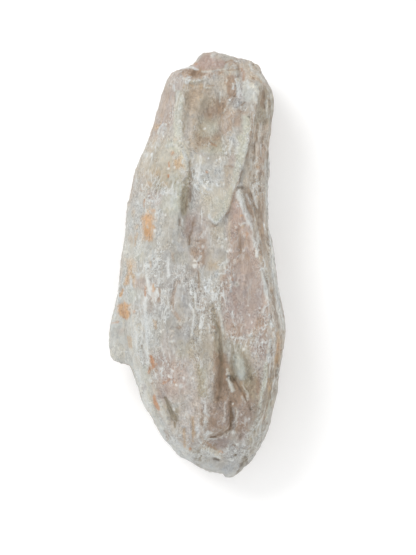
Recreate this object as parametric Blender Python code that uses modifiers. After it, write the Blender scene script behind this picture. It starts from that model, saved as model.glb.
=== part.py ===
"""Soapstone block: one rough, unworked piece of pale pink, cream and grey-green soapstone.

Blender 4.5, metres, +Z up. The stone lies on its flattest face, with its length along Y. The blunt
broken end is at +Y and the rounded end, with a small nib, at -Y. The origin is under the middle of
the stone, on the surface that it rests on. All sizes below are millimetres in the stone's own frame.

The way it is made: a ball is drawn out to the stone's outline and heights, a flake is laid against
its left side, the two are fused, broken faces are struck off it, and the relief (hollows, lumps,
ridges, furrows and ledges) is pressed into the skin. Last, the underside is cut flat.
"""

import math

import bmesh
import bpy
import numpy as np
from mathutils import Vector, noise

MM = 0.001
NAME = "soapstone_block"

# --- Driving dimensions ----------------------------------------------------------------------
LENGTH = 254.8  # along Y, from the nib to the top of the broken end
MIDDLE_Y = 0.05
SOFT = 0.4  # how gradually the skin is pressed back at the outline
GRAIN = 1.25  # size of the cells in which the skin is made, before it is thinned out
TRIANGLES = 10300  # what is kept of the skin
BALL_SEGMENTS, BALL_RINGS = 144, 288

# The outline seen from above: how far the stone reaches to the left and right at each Y.
LEFT_EDGE = [
    (127.4, 9), (126.8, 6), (125, 3), (122, 0), (120, -2), (118.4, -5), (118, -9), (116, -13.8),
    (113, -16.3), (110, -17.8), (103, -19.7), (95, -22), (90, -23.8), (80, -26.3), (70, -30.3),
    (60, -35.5), (55, -37), (45, -39), (35, -40.8), (20, -42), (10, -43.5), (0, -44.8),
    (-10, -44.6), (-25, -43.5), (-45, -41), (-60, -38.8), (-70, -35.4), (-80, -32.4),
    (-86, -30), (-94, -25), (-102, -20.6), (-106, -17), (-114, -10.2), (-117, -5), (-121, 2),
    (-122.6, 6), (-123.3, 10), (-123.5, 16), (-125, 18.2), (-126.8, 19.6), (-127.3, 21),
]
RIGHT_EDGE = [
    (127.4, 12), (126.5, 15.4), (125.3, 20.4), (123.6, 25.4), (122.8, 31.4), (121.5, 36.5), (119, 38.5),
    (113, 41.7), (107, 44.7), (104, 46.3), (98, 47), (92, 46.6), (86, 45.5), (82, 46), (78, 45),
    (70, 44.3), (62, 44.6), (50, 43.3), (38, 43.3), (30, 43.8), (24, 43.3), (16, 45.3), (8, 47),
    (-8, 48.9), (-20, 51), (-33, 53.5), (-42, 53.8), (-55, 51.6), (-70, 49.7), (-80, 48),
    (-95, 44.6), (-105, 40.5), (-115, 36), (-120, 31.4), (-123.5, 27), (-125, 24.9),
    (-127.3, 22),
]

# The heights along the stone: its crest, the two rims where it is widest, and its underside.
CREST = [
    (127.4, 42), (126.6, 48), (124.5, 53), (119, 57), (112, 61), (104, 63), (90, 65), (60, 67),
    (30, 70), (0, 73), (-30, 75.5), (-55, 75), (-80, 71), (-98, 64.5), (-108, 58), (-116, 50),
    (-122, 42), (-125, 36), (-127.3, 31),
]
LEFT_RIM = [(127.4, 36), (100, 33), (60, 31), (0, 33), (-60, 32), (-110, 28), (-127.3, 28)]
RIGHT_RIM = [(127.4, 36), (100, 30), (60, 28), (0, 27), (-60, 30), (-110, 30), (-127.3, 28)]
UNDERSIDE = [
    (127.4, 32), (126.6, 22), (124, 12), (118, 4), (108, 0), (92, -3), (70, -5), (20, -5.5),
    (-40, -5), (-80, -4), (-100, 0), (-112, 6), (-119, 13), (-124, 21), (-127.3, 26),
]
LEFT_BLUNTNESS, RIGHT_BLUNTNESS = 2.2, 4.0  # 2 is a round section, and more is boxier
UNDER_BLUNTNESS = 2.7

# The flake that stands out on the left: its outline from above, its thickness and its tilt.
FLAKE_OUTLINE = [
    (-41.5, 15), (-44.4, 4), (-45.5, -8), (-47, -18), (-48.6, -26), (-51, -35), (-52.2, -46),
    (-52.1, -54), (-49.8, -57.6), (-42.5, -58.6), (-36, -60), (-24, -52), (-24, 15),
]
FLAKE_THICKNESS = 15
FLAKE_MIDDLE_Z = 35
FLAKE_EDGE = 2.2
FLAKE_TILT = math.radians(-9)  # about the stone's length: its free edge hangs lower

# Flat broken faces: a point on each, the way that it faces, and how far its edge is rounded.
BROKEN_FACES = [
    ((-34, 60, 12), (-0.80, 0.12, -0.62), 1.2),
    ((-38, -6, 10), (-0.72, 0.06, -0.70), 1.4),
    ((-34, -66, 12), (-0.62, -0.32, -0.72), 1.2),
    ((36, 84, 8), (0.74, 0.16, -0.65), 1.2),
    ((42, 20, 9), (0.80, 0.05, -0.60), 1.2),
    ((45, -60, 10), (0.70, -0.22, -0.68), 1.4),
    ((8, 119, 8), (0.06, 0.78, -0.63), 1.4),
    ((-16, 106, 18), (-0.74, 0.50, -0.45), 1.4),
    ((-14, 111, 52), (-0.50, 0.46, 0.73), 1.4),
    ((39, 118, 34), (0.72, 0.66, 0.20), 1.2),
    ((30, 120, 56), (0.30, 0.62, 0.72), 1.2),
    ((14, -115, 8), (-0.16, -0.72, -0.67), 1.4),
    ((-13, -109, 34), (-0.66, -0.74, 0.12), 1.0),
    ((33, -116, 30), (0.62, -0.76, 0.14), 1.0),
    ((14, -113, 57), (-0.10, -0.60, 0.79), 1.4),
    ((-36, -70, 46), (-0.80, -0.26, 0.54), 1.6),
    ((-37, 30, 48), (-0.82, 0.14, 0.55), 2.0),
    ((-24, 62, 58), (-0.58, 0.24, 0.78), 2.0),
    ((51, -74, 51), (0.88, -0.20, 0.42), 1.4),
]

# Relief on the upper face. Each ridge or furrow is a path of (x, y, height), with negative
# heights for furrows, and the widths of its left and right flanks, seen along the path.
RIDGES = {
    "ridge left of the dish": (
        [(-11, 114, 0.5), (-9, 101, 2.4), (-9, 88, 3.2), (-9, 76, 3.2), (-7, 66, 2.8),
         (-6, 57, 2.2), (-8, 48, 1.2), (-10, 36, 0.8)], 3.2, 6.5),
    "floor of the dish": (
        [(5, 107, -2.6), (7, 101, -6.2), (9, 92, -7.8), (7, 82, -6.4), (7, 74, -5.6),
         (9, 67, -1.8)], 8, 9),
    "rim over the dish": (
        [(-13, 109, 0.5), (-6, 110.5, 2.0), (1, 110.5, 2.4), (7, 113, 2.2), (15, 116, 1.6),
         (22, 117, 0.8)], 2.2, 2.4),
    "notch by the left shoulder": (
        [(-6, 120, -2.5), (-3, 116.5, -2.0), (1, 114, -1.4), (5, 112.5, -0.4)], 2.2, 2.2),
    "crack in the broken end": (
        [(26, 118, -0.5), (28, 113, -1.4), (28, 107, -1.0), (26.5, 103, -0.4)], 1.2, 1.2),
    "deep furrow": (
        [(-1, 60, -0.4), (-1.6, 53, -2.2), (-2.6, 46, -3.8), (-3.4, 38, -4.4), (-4.6, 31, -3.6),
         (-4.8, 26, -2.4), (-3, 20, -2.2), (-1.6, 12, -2.0), (-0.4, 3, -1.4), (1.8, -7, -1.0),
         (1.6, -14, -0.5)], 2.0, 4.0),
    "valley below the furrow": (
        [(-4, 34, -1.6), (-1, 20, -2.6), (1, 6, -2.2), (3, -10, -1.0)], 6, 6),
    "grey valley": (
        [(-11, 4, -0.9), (-9, -8, -2.3), (-9.5, -22, -2.9), (-8, -33, -2.6), (-6, -44, -1.2)],
        4.2, 5.2),
    "hollow by the plate's tip": (
        [(23, 41, -0.6), (21.5, 34, -1.8), (18, 27, -1.8), (15, 19, -1.0), (13, 8, -0.4)],
        3.5, 3),
    "ridge along the right shoulder": (
        [(25.5, 45, 1.6), (27.5, 38, 2.4), (31, 30, 2.2), (34.5, 21, 2.0), (37.5, 11, 1.8),
         (39.5, 3, 1.6), (41.5, -7, 1.5), (42.5, -17, 1.5), (44, -26, 1.4), (45.5, -34, 1.2),
         (44.5, -50, 1.2), (42.5, -62, 1.2), (40, -74, 1.0), (37, -86, 0.6)], 2.2, 4.5),
    "line in the pink face": (
        [(24.5, 24, -0.4), (26, 14, -1.0), (27.5, 4, -0.8), (28, -6, -0.3)], 1.0, 1.0),
    "central groove": (
        [(10.4, -16, -0.4), (12.6, -24, -1.8), (14.4, -31, -3.2), (15.8, -40, -4.2),
         (17, -50, -5.0), (17.6, -58, -5.6), (17.2, -68, -5.2), (16.2, -78, -4.4),
         (17.5, -87, -2.2)], 6.0, 3.2),
    "lip of the central groove": (
        [(9.6, -26, 0.6), (10.8, -38, 1.2), (12, -50, 1.6), (12, -58, 1.6), (10.6, -68, 1.4),
         (9.2, -78, 0.8)], 1.6, 3.5),
    "central ridge": (
        [(4, -24, 0.4), (4.5, -38, 1.0), (5.5, -52, 1.2), (6, -66, 1.6), (5.6, -80, 2.0),
         (5.6, -92, 2.2), (5.4, -101, 1.6)], 3.0, 5.0),
    "grey seam": (
        [(-1.2, -9, 0.8), (-1, -20, 1.5), (0, -28, 1.7), (-1.2, -35, 1.7), (-2.2, -43, 1.3),
         (-2.6, -52, 0.5)], 1.3, 1.7),
    "white seam on the left": (
        [(-29.5, 6, 0.8), (-28.8, -8, 1.7), (-28.4, -20, 2.1), (-28.6, -34, 2.4),
         (-28.2, -48, 2.3), (-27.6, -58, 2.0), (-28, -70, 0.8)], 1.7, 2.6),
    "gouge on the lower left": (
        [(-20, -76, -0.6), (-18.2, -81, -2.0), (-16, -85.5, -3.2), (-14.4, -89, -3.2),
         (-12.6, -94, -2.6), (-11.4, -98, -1.2)], 1.9, 3.0),
    "splinter by the pit": (
        [(18.6, -61, 0.8), (19.4, -66, 2.2), (20.8, -71, 2.4), (22.6, -75.5, 1.0)], 1.2, 1.3),
    "crack under the splinter": (
        [(23, -68, -2.0), (26, -72.5, -2.4), (29, -77, -2.2), (31, -81, -1.2)], 1.1, 1.1),
    "splinter right of the crack": (
        [(25.5, -67.5, 1.0), (28.4, -72.5, 1.8), (31, -77, 1.6), (32.4, -82, 0.6)], 1.1, 1.1),
    "crevice right of the lobe": (
        [(20, -79, -1.0), (21.2, -85, -3.0), (21.6, -91, -3.2), (20.8, -96, -2.6)], 1.7, 1.2),
    "crevice under the lobe": (
        [(21, -95.5, -2.6), (17.5, -98, -2.8), (13.5, -100, -2.6), (9, -102.4, -1.4)], 1.5, 1.2),
    "edge of the rounded end": (
        [(0, -108.5, 0.8), (6, -111, 1.4), (12, -113.5, 1.6), (19, -113, 1.0),
         (26, -110, 0.8)], 1.6, 1.4),
    "neck of the nib": (
        [(13, -124.5, -2.4), (17, -122, -1.8), (20, -119.5, -0.4)], 2.0, 2.0),
}

# Ledges: a path, the height by which its right side, seen along the path, stands over its left
# side, how far back the raised side falls off, and half the width of the broken edge below it.
LEDGES = {
    "right edge of the plate": (
        [(40.5, 111, 3.0), (39, 104, 5.2), (36.8, 96, 6.0), (34.8, 88, 6.0), (33.4, 80, 5.8),
         (31.4, 73, 5.2), (29.8, 65, 4.6), (27.6, 57, 4.0), (25.6, 50, 3.4), (23.6, 45, 2.8),
         (21.6, 38, 2.8), (20, 33, 2.8), (17.2, 30, 2.6), (14, 26.5, 2.2),
         (12, 24.6, 1.6)], 13, 0.8),
    "left edge of the plate": (
        [(12, 24.6, 1.6), (9.4, 27.2, 1.4), (7.4, 31, 1.4), (5.4, 35.5, 1.4), (3, 40, 1.6),
         (0.5, 45, 1.6), (-1.2, 50, 1.4), (-2.2, 56, 0.8)], 9, 1.8),
    "lip right of the dish": (
        [(14, 72, 0.6), (17, 77, 1.4), (15.4, 84, 2.6), (15, 89, 4.0), (16.8, 93, 4.4),
         (19.4, 98, 4.0), (23, 100.5, 3.0), (25, 105, 2.2), (27, 111, 1.0)], 8, 1.0),
    "step across the plate": (
        [(0, 66, 0.8), (5, 64.6, 1.2), (12, 65, 1.2), (20, 64.4, 0.8)], 9, 1.2),
    "shoulder above the right side": (
        [(25.5, 46, 0.6), (29, 38, 2.6), (32.6, 30, 3.4), (36, 21, 3.8), (39, 11, 4.0),
         (41, 3, 4.0), (42.6, -7, 4.0), (43.8, -17, 3.8), (45.4, -26, 3.4), (46.8, -35, 3.0),
         (45.6, -50, 3.2), (43.4, -62, 3.4), (41, -74, 3.0), (38, -86, 2.0),
         (34, -98, 0.8)], 14, 1.6),
    "foot of the left flank": (
        [(-34.6, -66, 0.6), (-35.4, -58, 2.2), (-35.8, -50, 2.4), (-35.6, -40, 2.0),
         (-36.2, -30, 1.0), (-37, -20, 0.4)], 7, 1.4),
    "end of the lobe": (
        [(21.4, -95, 1.4), (18, -98.4, 2.0), (13, -101, 2.0), (8, -103, 0.8)], 8, 1.0),
}

# Hollows and lumps: centre, half-widths across and along, turn in degrees, height.
DENTS = {
    "knob of the broken end": ((9.5, 121), (9.5, 6.0), -8, 2.6),
    "left shoulder": ((-11, 112), (6.0, 5.0), 0, 1.2),
    "right shoulder": ((33, 113), (6.5, 8.0), 20, 1.4),
    "brown hollow in the broken end": ((-0.5, 114.4), (4.8, 2.4), -5, -1.8),
    "pit of the dish": ((10.5, 94), (6.2, 5.6), 25, -2.6),
    "shelf in the pit": ((0, 100), (5.5, 8.0), 0, -1.2),
    "bump in the dish": ((8.5, 81), (4.6, 5.5), 0, 1.4),
    "pale cap of the plate": ((31, 104), (4.5, 7.0), -10, 1.6),
    "hollow in the plate": ((26.5, 96), (4.0, 3.0), 15, -1.6),
    "bruise on the plate": ((3.2, 48.5), (4.5, 2.6), -35, -1.0),
    "swelling of the left mass": ((-24, 40), (12, 26), 8, 1.8),
    "left hollow": ((-22, 15), (7, 12), 0, -1.0),
    "grey window": ((-11, 7), (5, 5.5), 0, -1.0),
    "middle window": ((11, 6), (5.5, 8), 0, -0.8),
    "scar under the knot": ((0, -1), (2.4, 3.2), -40, -1.6),
    "knot": ((0.2, 6.5), (2.2, 3.0), 0, 1.0),
    "pink face": ((30, -8), (9, 30), 4, -1.6),
    "grey lens": ((26.4, -59), (4.4, 8.4), 14, 2.6),
    "black pit": ((22.4, -67), (2.0, 2.4), 10, -3.6),
    "hollow right of the lens": ((35, -71), (3.4, 9.5), -8, -2.2),
    "lobe": ((15, -91), (5.4, 8.0), -6, 2.8),
    "facet under the lobe": ((14.5, -106), (6.6, 3.6), -8, -1.4),
    "left swelling": ((-21, -70), (9, 14), 12, 1.2),
    "pit in the end, left": ((1.8, -113), (2.2, 3.0), 0, -2.4),
    "slot in the end": ((13.6, -115.6), (3.2, 1.1), 0, -1.8),
    "pit in the end, middle": ((23.4, -112.4), (1.6, 1.6), 0, -1.6),
    "pit in the end, right": ((30, -114.6), (1.2, 2.0), 0, -2.4),
    "dip before the nib": ((28.5, -118.5), (3.0, 3.4), 0, -1.8),
    "nib": ((21.6, -124), (2.6, 3.2), 0, 1.6),
}

# Points that are drawn out: where, how far around, and which way.
DRAWN_OUT = {
    "flat beside the nib": ((11, -125, 30), 6.0, (0, 2.2, 0)),
    "nib": ((22.4, -124, 29), 4.2, (0.4, -7.5, 0)),
    "knob of the broken end": ((13, 125, 44), 9.0, (0, 2.4, 0)),
}

# The grain of the stone: ribs that run the whole length of it, and broken facets, each of which
# is tilted a little its own way.
RIB_HEIGHT = 1.8
RIBS_ACROSS = 7.5
RIB_LENGTH = 60.0
FINE_RIB_HEIGHT = 0.7
FACET_SIZE = (15.0, 36.0, 15.0)
FACET_TILT = 0.16
FACET_STEP = 0.7
ON_THE_UPPER_FACE = 0.45  # how much of the grain is left there


def straight(stations, y):
    """The value at each y of straight lines through (y, value) stations."""
    known_y, values = np.array(sorted(stations), float).T
    return np.interp(y, known_y, values)


def smooth(stations, y):
    """The value at each y of a smooth curve through (y, value) stations."""
    known_y, values = np.array(sorted(stations), float).T
    slopes = np.gradient(values, known_y)
    i = np.clip(np.searchsorted(known_y, y) - 1, 0, len(known_y) - 2)
    gap = known_y[i + 1] - known_y[i]
    t = np.clip((y - known_y[i]) / gap, 0, 1)
    bend = t * t * (3 - 2 * t)
    return (
        values[i] * (1 - bend)
        + values[i + 1] * bend
        + gap * t * (1 - t) * (slopes[i] * (1 - t) - slopes[i + 1] * t)
    )


def step(low, high, value):
    """0 below low, 1 above high, and a smooth rise between."""
    t = np.clip((value - low) / (high - low), 0, 1)
    return t * t * (3 - 2 * t)


def coordinates(mesh):
    flat = np.empty(len(mesh.vertices) * 3, np.float32)
    mesh.vertices.foreach_get("co", flat)
    return flat.reshape(-1, 3).astype(float)


def normals(mesh):
    flat = np.empty(len(mesh.vertices) * 3, np.float32)
    mesh.vertices.foreach_get("normal", flat)
    return flat.reshape(-1, 3).astype(float)


def put_coordinates(mesh, points):
    mesh.vertices.foreach_set("co", points.astype(np.float32).ravel())
    mesh.update()


def drawn_out_ball():
    """A ball whose points are moved out to the outline, the crest, the rims and the underside."""
    shaper = bmesh.new()
    bmesh.ops.create_uvsphere(shaper, u_segments=BALL_SEGMENTS, v_segments=BALL_RINGS, radius=1)
    mesh = bpy.data.meshes.new(NAME)
    shaper.to_mesh(mesh)
    shaper.free()
    across, down, along = coordinates(mesh).T
    girth = np.sqrt(np.maximum(1 - along**2, 1e-9))
    c, s = across / girth, -down / girth
    y = MIDDLE_Y + along * LENGTH / 2

    left, right = straight(LEFT_EDGE, y), straight(RIGHT_EDGE, y)
    side = (1 + np.clip(c, -1, 1)) / 2
    rim = smooth(LEFT_RIM, y) * (1 - side) + smooth(RIGHT_RIM, y) * side
    top, under = smooth(CREST, y), smooth(UNDERSIDE, y)
    reach = np.where(s > 0, top - rim, rim - under)
    bluntness = np.where(
        s > 0, LEFT_BLUNTNESS + (RIGHT_BLUNTNESS - LEFT_BLUNTNESS) * side, UNDER_BLUNTNESS
    )
    x = (left + right) / 2 + (right - left) / 2 * np.sign(c) * np.abs(c) ** (2 / bluntness)
    z = rim + reach * np.sign(s) * np.abs(s) ** (2 / bluntness)
    put_coordinates(mesh, np.stack([x, y, z], 1))
    return bpy.data.objects.new(NAME, mesh)


def flake():
    """The thin slab on the left, from its outline."""
    outline = bpy.data.curves.new("flake", "CURVE")
    outline.dimensions = "2D"
    outline.fill_mode = "BOTH"
    outline.extrude = FLAKE_THICKNESS / 2 - FLAKE_EDGE
    outline.bevel_depth = FLAKE_EDGE
    outline.bevel_resolution = 3
    outline.offset = -FLAKE_EDGE
    spline = outline.splines.new("POLY")
    spline.points.add(len(FLAKE_OUTLINE) - 1)
    root_x = FLAKE_OUTLINE[-1][0]
    for point, (x, y) in zip(spline.points, FLAKE_OUTLINE):
        point.co = (x - root_x, y, 0, 1)
    spline.use_cyclic_u = True
    slab = bpy.data.objects.new("flake", outline)
    slab.location = (root_x, 0, FLAKE_MIDDLE_Z)
    slab.rotation_euler.y = FLAKE_TILT
    return slab


def evaluated_mesh(obj):
    bpy.context.view_layer.update()
    graph = bpy.context.evaluated_depsgraph_get()
    mesh = bpy.data.meshes.new_from_object(obj.evaluated_get(graph))
    mesh.transform(obj.matrix_world)
    return mesh


def fused(body, slab):
    """One even skin over both, made in cells of GRAIN."""
    joined = bmesh.new()
    for piece in (body, slab):
        mesh = evaluated_mesh(piece)
        joined.from_mesh(mesh)
        bpy.data.objects.remove(piece)
        bpy.data.meshes.remove(mesh)
    bmesh.ops.remove_doubles(joined, verts=joined.verts, dist=0.001)
    mesh = bpy.data.meshes.new(NAME)
    joined.to_mesh(mesh)
    joined.free()
    stone = bpy.data.objects.new(NAME, mesh)
    bpy.context.scene.collection.objects.link(stone)
    skin = stone.modifiers.new("skin", "REMESH")
    skin.mode = "VOXEL"
    skin.voxel_size = GRAIN
    soften = stone.modifiers.new("soften", "SMOOTH")
    soften.factor = 0.5
    soften.iterations = 2
    made = evaluated_mesh(stone)
    bpy.data.objects.remove(stone)
    return made


def strike_faces(points):
    """Moves what stands proud of each broken face onto it, with a rounded edge."""
    for point, facing, rounding in BROKEN_FACES:
        facing = np.array(facing) / np.linalg.norm(facing)
        proud = (points - np.array(point)) @ facing
        # A soft maximum of 0 and the height over the face.
        taken = rounding * np.logaddexp(0, proud / rounding)
        points = points - facing * np.where(proud > -4 * rounding, taken, 0)[:, None]
    return points


def along_path(path, x, y):
    """Distance to a path (positive on its left), and the third value of the nearest place."""
    path = np.array(path, float)
    nearest = np.full(len(x), np.inf)
    signed, third = np.zeros(len(x)), np.zeros(len(x))
    for start, end in zip(path[:-1], path[1:]):
        run = end[:2] - start[:2]
        dx, dy = x - start[0], y - start[1]
        t = np.clip((dx * run[0] + dy * run[1]) / (run @ run), 0, 1)
        away = np.hypot(dx - t * run[0], dy - t * run[1])
        closer = away < nearest
        nearest = np.where(closer, away, nearest)
        side = np.sign(run[0] * dy - run[1] * dx)
        signed = np.where(closer, side * away, signed)
        third = np.where(closer, start[2] + t * (end[2] - start[2]), third)
    return signed, third


def past_ends(path, x, y):
    """How far each point lies past the ends of a path, 0 beside it."""
    path = np.array(path, float)[:, :2]
    out = np.zeros(len(x))
    for tip, inner in ((path[0], path[1]), (path[-1], path[-2])):
        outward = (tip - inner) / np.linalg.norm(tip - inner)
        out = np.maximum(out, (x - tip[0]) * outward[0] + (y - tip[1]) * outward[1])
    return out


def ridge_relief(x, y):
    relief = np.zeros(len(x))
    for path, left_width, right_width in RIDGES.values():
        distance, height = along_path(path, x, y)
        width = np.where(distance > 0, left_width, right_width)
        relief += height * np.exp(-((distance / width) ** 2))
    return relief


def ledge_relief(x, y):
    relief = np.zeros(len(x))
    for path, reach, edge in LEDGES.values():
        distance, height = along_path(path, x, y)
        raised = step(-2 * edge, 0, -distance) * np.exp(np.minimum(distance, 0) / reach)
        fade = np.exp(-((past_ends(path, x, y) / edge / 2) ** 2))
        relief += height * raised * fade
    return relief


def dent_relief(x, y):
    relief = np.zeros(len(x))
    for centre, half_widths, turn, height in DENTS.values():
        turn = math.radians(turn)
        dx, dy = x - centre[0], y - centre[1]
        u = (dx * math.cos(turn) + dy * math.sin(turn)) / half_widths[0]
        v = (dy * math.cos(turn) - dx * math.sin(turn)) / half_widths[1]
        relief += height * np.exp(-((u * u + v * v) ** 1.5))
    return relief


def grain_relief(points):
    """Ribs along the stone, from noise that is stretched along it, and tilted facets."""
    x, y, z = points.T
    left, right = straight(LEFT_EDGE, y), straight(RIGHT_EDGE, y)
    crest, under = smooth(CREST, y), smooth(UNDERSIDE, y)
    u = (2 * x - left - right) / np.maximum(right - left, 16) * RIBS_ACROSS / 2
    v = (2 * z - crest - under) / np.maximum(crest - under, 16) * RIBS_ACROSS / 2
    ribs = np.stack([u, v, y / RIB_LENGTH], 1)
    cells = points / FACET_SIZE
    made = np.zeros(len(points))
    for i, (rib, cell) in enumerate(zip(ribs, cells)):
        broad = 0.5 - 2.4 * abs(noise.noise(rib))
        fine = noise.fractal(rib * 2.7, 0.8, 2.0, 3)
        seed = noise.voronoi(cell)[1][0]
        tilt = noise.cell_vector(seed * 9.7)
        lean = (Vector(cell) - seed).dot(tilt) * FACET_SIZE[0] * FACET_TILT
        made[i] = RIB_HEIGHT * broad + FINE_RIB_HEIGHT * fine + lean + FACET_STEP * tilt.x
    return made


def draw_out(points):
    for centre, around, pull in DRAWN_OUT.values():
        away = np.linalg.norm(points - np.array(centre), axis=1)
        points = points + np.exp(-((away / around) ** 2))[:, None] * np.array(pull)
    return points


def keep_inside(points):
    """Presses back what the grain has pushed out past the outline, as seen from above."""
    x, y, z = points.T
    flake_x, flake_y = np.array(FLAKE_OUTLINE[:11]).T
    spur = np.interp(-y, -flake_y, flake_x, left=0, right=0)
    left, right = np.minimum(straight(LEFT_EDGE, y), spur), straight(RIGHT_EDGE, y)
    x = x - SOFT * np.logaddexp(0, (x - right) / SOFT)
    x = x + SOFT * np.logaddexp(0, (left - x) / SOFT)
    y = np.clip(y, MIDDLE_Y - LENGTH / 2, MIDDLE_Y + LENGTH / 2)
    return np.stack([x, y, z], 1)


def sculpt(mesh):
    """Presses the broken faces and the relief into the skin."""
    put_coordinates(mesh, strike_faces(coordinates(mesh)))
    points, facing = coordinates(mesh), normals(mesh)
    x, y, _ = points.T
    upper = step(0.05, 0.45, facing[:, 2])
    grain = grain_relief(points) * (1 - (1 - ON_THE_UPPER_FACE) * upper)
    points += facing * grain[:, None]
    points[:, 2] += upper * (ridge_relief(x, y) + ledge_relief(x, y) + dent_relief(x, y))
    put_coordinates(mesh, keep_inside(draw_out(points)))


def thinned(mesh):
    """Keeps about TRIANGLES faces, the small ones where the stone is sharpest."""
    stone = bpy.data.objects.new(NAME, mesh)
    bpy.context.scene.collection.objects.link(stone)
    soften = stone.modifiers.new("soften", "SMOOTH")
    soften.factor = 0.4
    soften.iterations = 1
    thin = stone.modifiers.new("thin", "DECIMATE")
    mesh.calc_loop_triangles()
    thin.ratio = TRIANGLES / len(mesh.loop_triangles)
    made = evaluated_mesh(stone)
    bpy.data.objects.remove(stone)
    return made


def cut_flat(mesh):
    """Cuts the underside along the plane that the stone rests on, and puts the origin there."""
    cutter = bmesh.new()
    cutter.from_mesh(mesh)
    everything = list(cutter.verts) + list(cutter.edges) + list(cutter.faces)
    cut = bmesh.ops.bisect_plane(
        cutter, geom=everything, plane_co=(0, 0, 0), plane_no=(0, 0, 1), clear_inner=True
    )
    rim = [e for e in cut["geom_cut"] if isinstance(e, bmesh.types.BMEdge)]
    bmesh.ops.holes_fill(cutter, edges=rim)
    bmesh.ops.recalc_face_normals(cutter, faces=cutter.faces)
    cutter.to_mesh(mesh)
    cutter.free()
    points = coordinates(mesh)
    middle = (points.min(0) + points.max(0)) / 2
    points[:, :2] -= middle[:2]
    put_coordinates(mesh, points * MM)


def soapstone():
    material = bpy.data.materials.new("soapstone")
    material.use_nodes = True
    shader = material.node_tree.nodes["Principled BSDF"]
    shader.inputs["Base Color"].default_value = (0.56, 0.48, 0.42, 1)
    shader.inputs["Roughness"].default_value = 0.55
    shader.inputs["Metallic"].default_value = 0
    return material


def main():
    for old in list(bpy.data.objects):
        bpy.data.objects.remove(old)
    body, slab = drawn_out_ball(), flake()
    bpy.context.scene.collection.objects.link(body)
    bpy.context.scene.collection.objects.link(slab)
    mesh = fused(body, slab)
    sculpt(mesh)
    mesh = thinned(mesh)
    cut_flat(mesh)
    mesh.name = NAME
    mesh.materials.clear()
    mesh.materials.append(soapstone())
    mesh.shade_smooth()
    stone = bpy.data.objects.new(NAME, mesh)
    collection = bpy.data.collections.new("Soapstone block")
    bpy.context.scene.collection.children.link(collection)
    collection.objects.link(stone)


main()
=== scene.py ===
# %% [markdown]
# # A raw block of soapstone
#
# This is a natural stone, 255 mm long, that nobody has worked yet. It came off the quarry face along
# its own grain, so it has long ribs, splintered ledges and one pale plate that lies on it like a
# tile. Soapstone is mostly talc: it is soft, waxy and a little greasy, and every knock leaves a
# white powdery bruise. Iron in the water has stained it orange in a few places.
#
# Everything here is in metres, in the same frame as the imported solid: +Y runs to the blunt broken
# end, +Z is up, and the stone lies on z = 0.

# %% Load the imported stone
import math

import bmesh
import bpy
import numpy as np
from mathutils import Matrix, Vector, noise


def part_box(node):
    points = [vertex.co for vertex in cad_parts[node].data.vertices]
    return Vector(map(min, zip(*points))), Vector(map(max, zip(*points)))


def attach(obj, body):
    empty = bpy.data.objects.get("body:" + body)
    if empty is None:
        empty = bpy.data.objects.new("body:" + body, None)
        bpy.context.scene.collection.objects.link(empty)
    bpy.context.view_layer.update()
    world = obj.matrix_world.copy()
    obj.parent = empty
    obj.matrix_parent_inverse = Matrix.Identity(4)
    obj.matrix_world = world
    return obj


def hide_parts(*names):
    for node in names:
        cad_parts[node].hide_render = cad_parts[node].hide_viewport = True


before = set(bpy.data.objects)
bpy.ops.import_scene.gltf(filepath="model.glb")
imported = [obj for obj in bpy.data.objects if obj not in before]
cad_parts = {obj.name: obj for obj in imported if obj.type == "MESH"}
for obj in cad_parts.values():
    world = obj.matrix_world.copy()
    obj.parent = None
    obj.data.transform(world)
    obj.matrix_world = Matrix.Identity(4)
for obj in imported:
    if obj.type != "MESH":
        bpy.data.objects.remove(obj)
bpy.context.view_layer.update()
MM = 0.001
low, high = (Vector(corner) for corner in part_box("soapstone_block"))
size = high - low
print("stone:", " x ".join(f"{side / MM:.1f}" for side in size), "mm")

# %% [markdown]
# ## The camera
#
# The block can't stand up by itself, so it lies down and the camera looks straight down on it, with
# the broken end at the top of the picture. A long lens from well over two metres away keeps the outline
# nearly free of perspective, as a careful catalogue picture does.

# %% Camera above the stone
PICTURE_HEIGHT = 333 * MM  # what the picture takes in from top to bottom, at the stone's waist
WAIST = 35 * MM
DISTANCE = 2.4
SEEN_FROM = Vector((6.7 * MM, -7.1 * MM))  # the middle of the picture lies a little off the stone's

lens = bpy.data.cameras.new("camera")
# In a tall picture Blender lays the sensor's width along the height.
lens.lens = lens.sensor_width * DISTANCE / PICTURE_HEIGHT
lens.clip_end = 50
camera = bpy.data.objects.new("camera", lens)
camera.location = (*SEEN_FROM, WAIST + DISTANCE)
bpy.context.scene.collection.objects.link(camera)
bpy.context.scene.camera = camera
print(f"lens {lens.lens:.0f} mm at {DISTANCE} m")

# %% [markdown]
# ## Light and floor
#
# A white table under a big soft light from the upper left, with a broad weak one opposite, gives a
# gentle shading that still shows every rib. One small lamp would be simpler, but it would blacken
# a flank and draw a hard shadow. The world's own light is even and bright, and the white paper glows
# very faintly, so that the shadow round the stone stays pale. Colours are left plain, with no film
# curve, so that a colour in the palette below comes out as it was mixed.


# %% Soft light, white table
WORLD_LIGHT = 0.85  # the strength of the even light from all round
PAPER_GLOW = 0.09


def lamp(name, place, width, power):
    """A round area lamp aimed at the stone. Place and width are in metres, the power in watts."""
    light = bpy.data.lights.new(name, "AREA")
    light.shape, light.size, light.energy = "DISK", width, power
    holder = bpy.data.objects.new(name, light)
    holder.location = place
    aim = Vector((0, 0, WAIST)) - Vector(place)
    holder.rotation_euler = aim.to_track_quat("-Z", "Y").to_euler()
    bpy.context.scene.collection.objects.link(holder)


lamp("key", (-1.0, 1.0, 1.6), 1.2, 21)
lamp("fill", (1.3, -0.8, 1.8), 1.6, 7.5)

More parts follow.
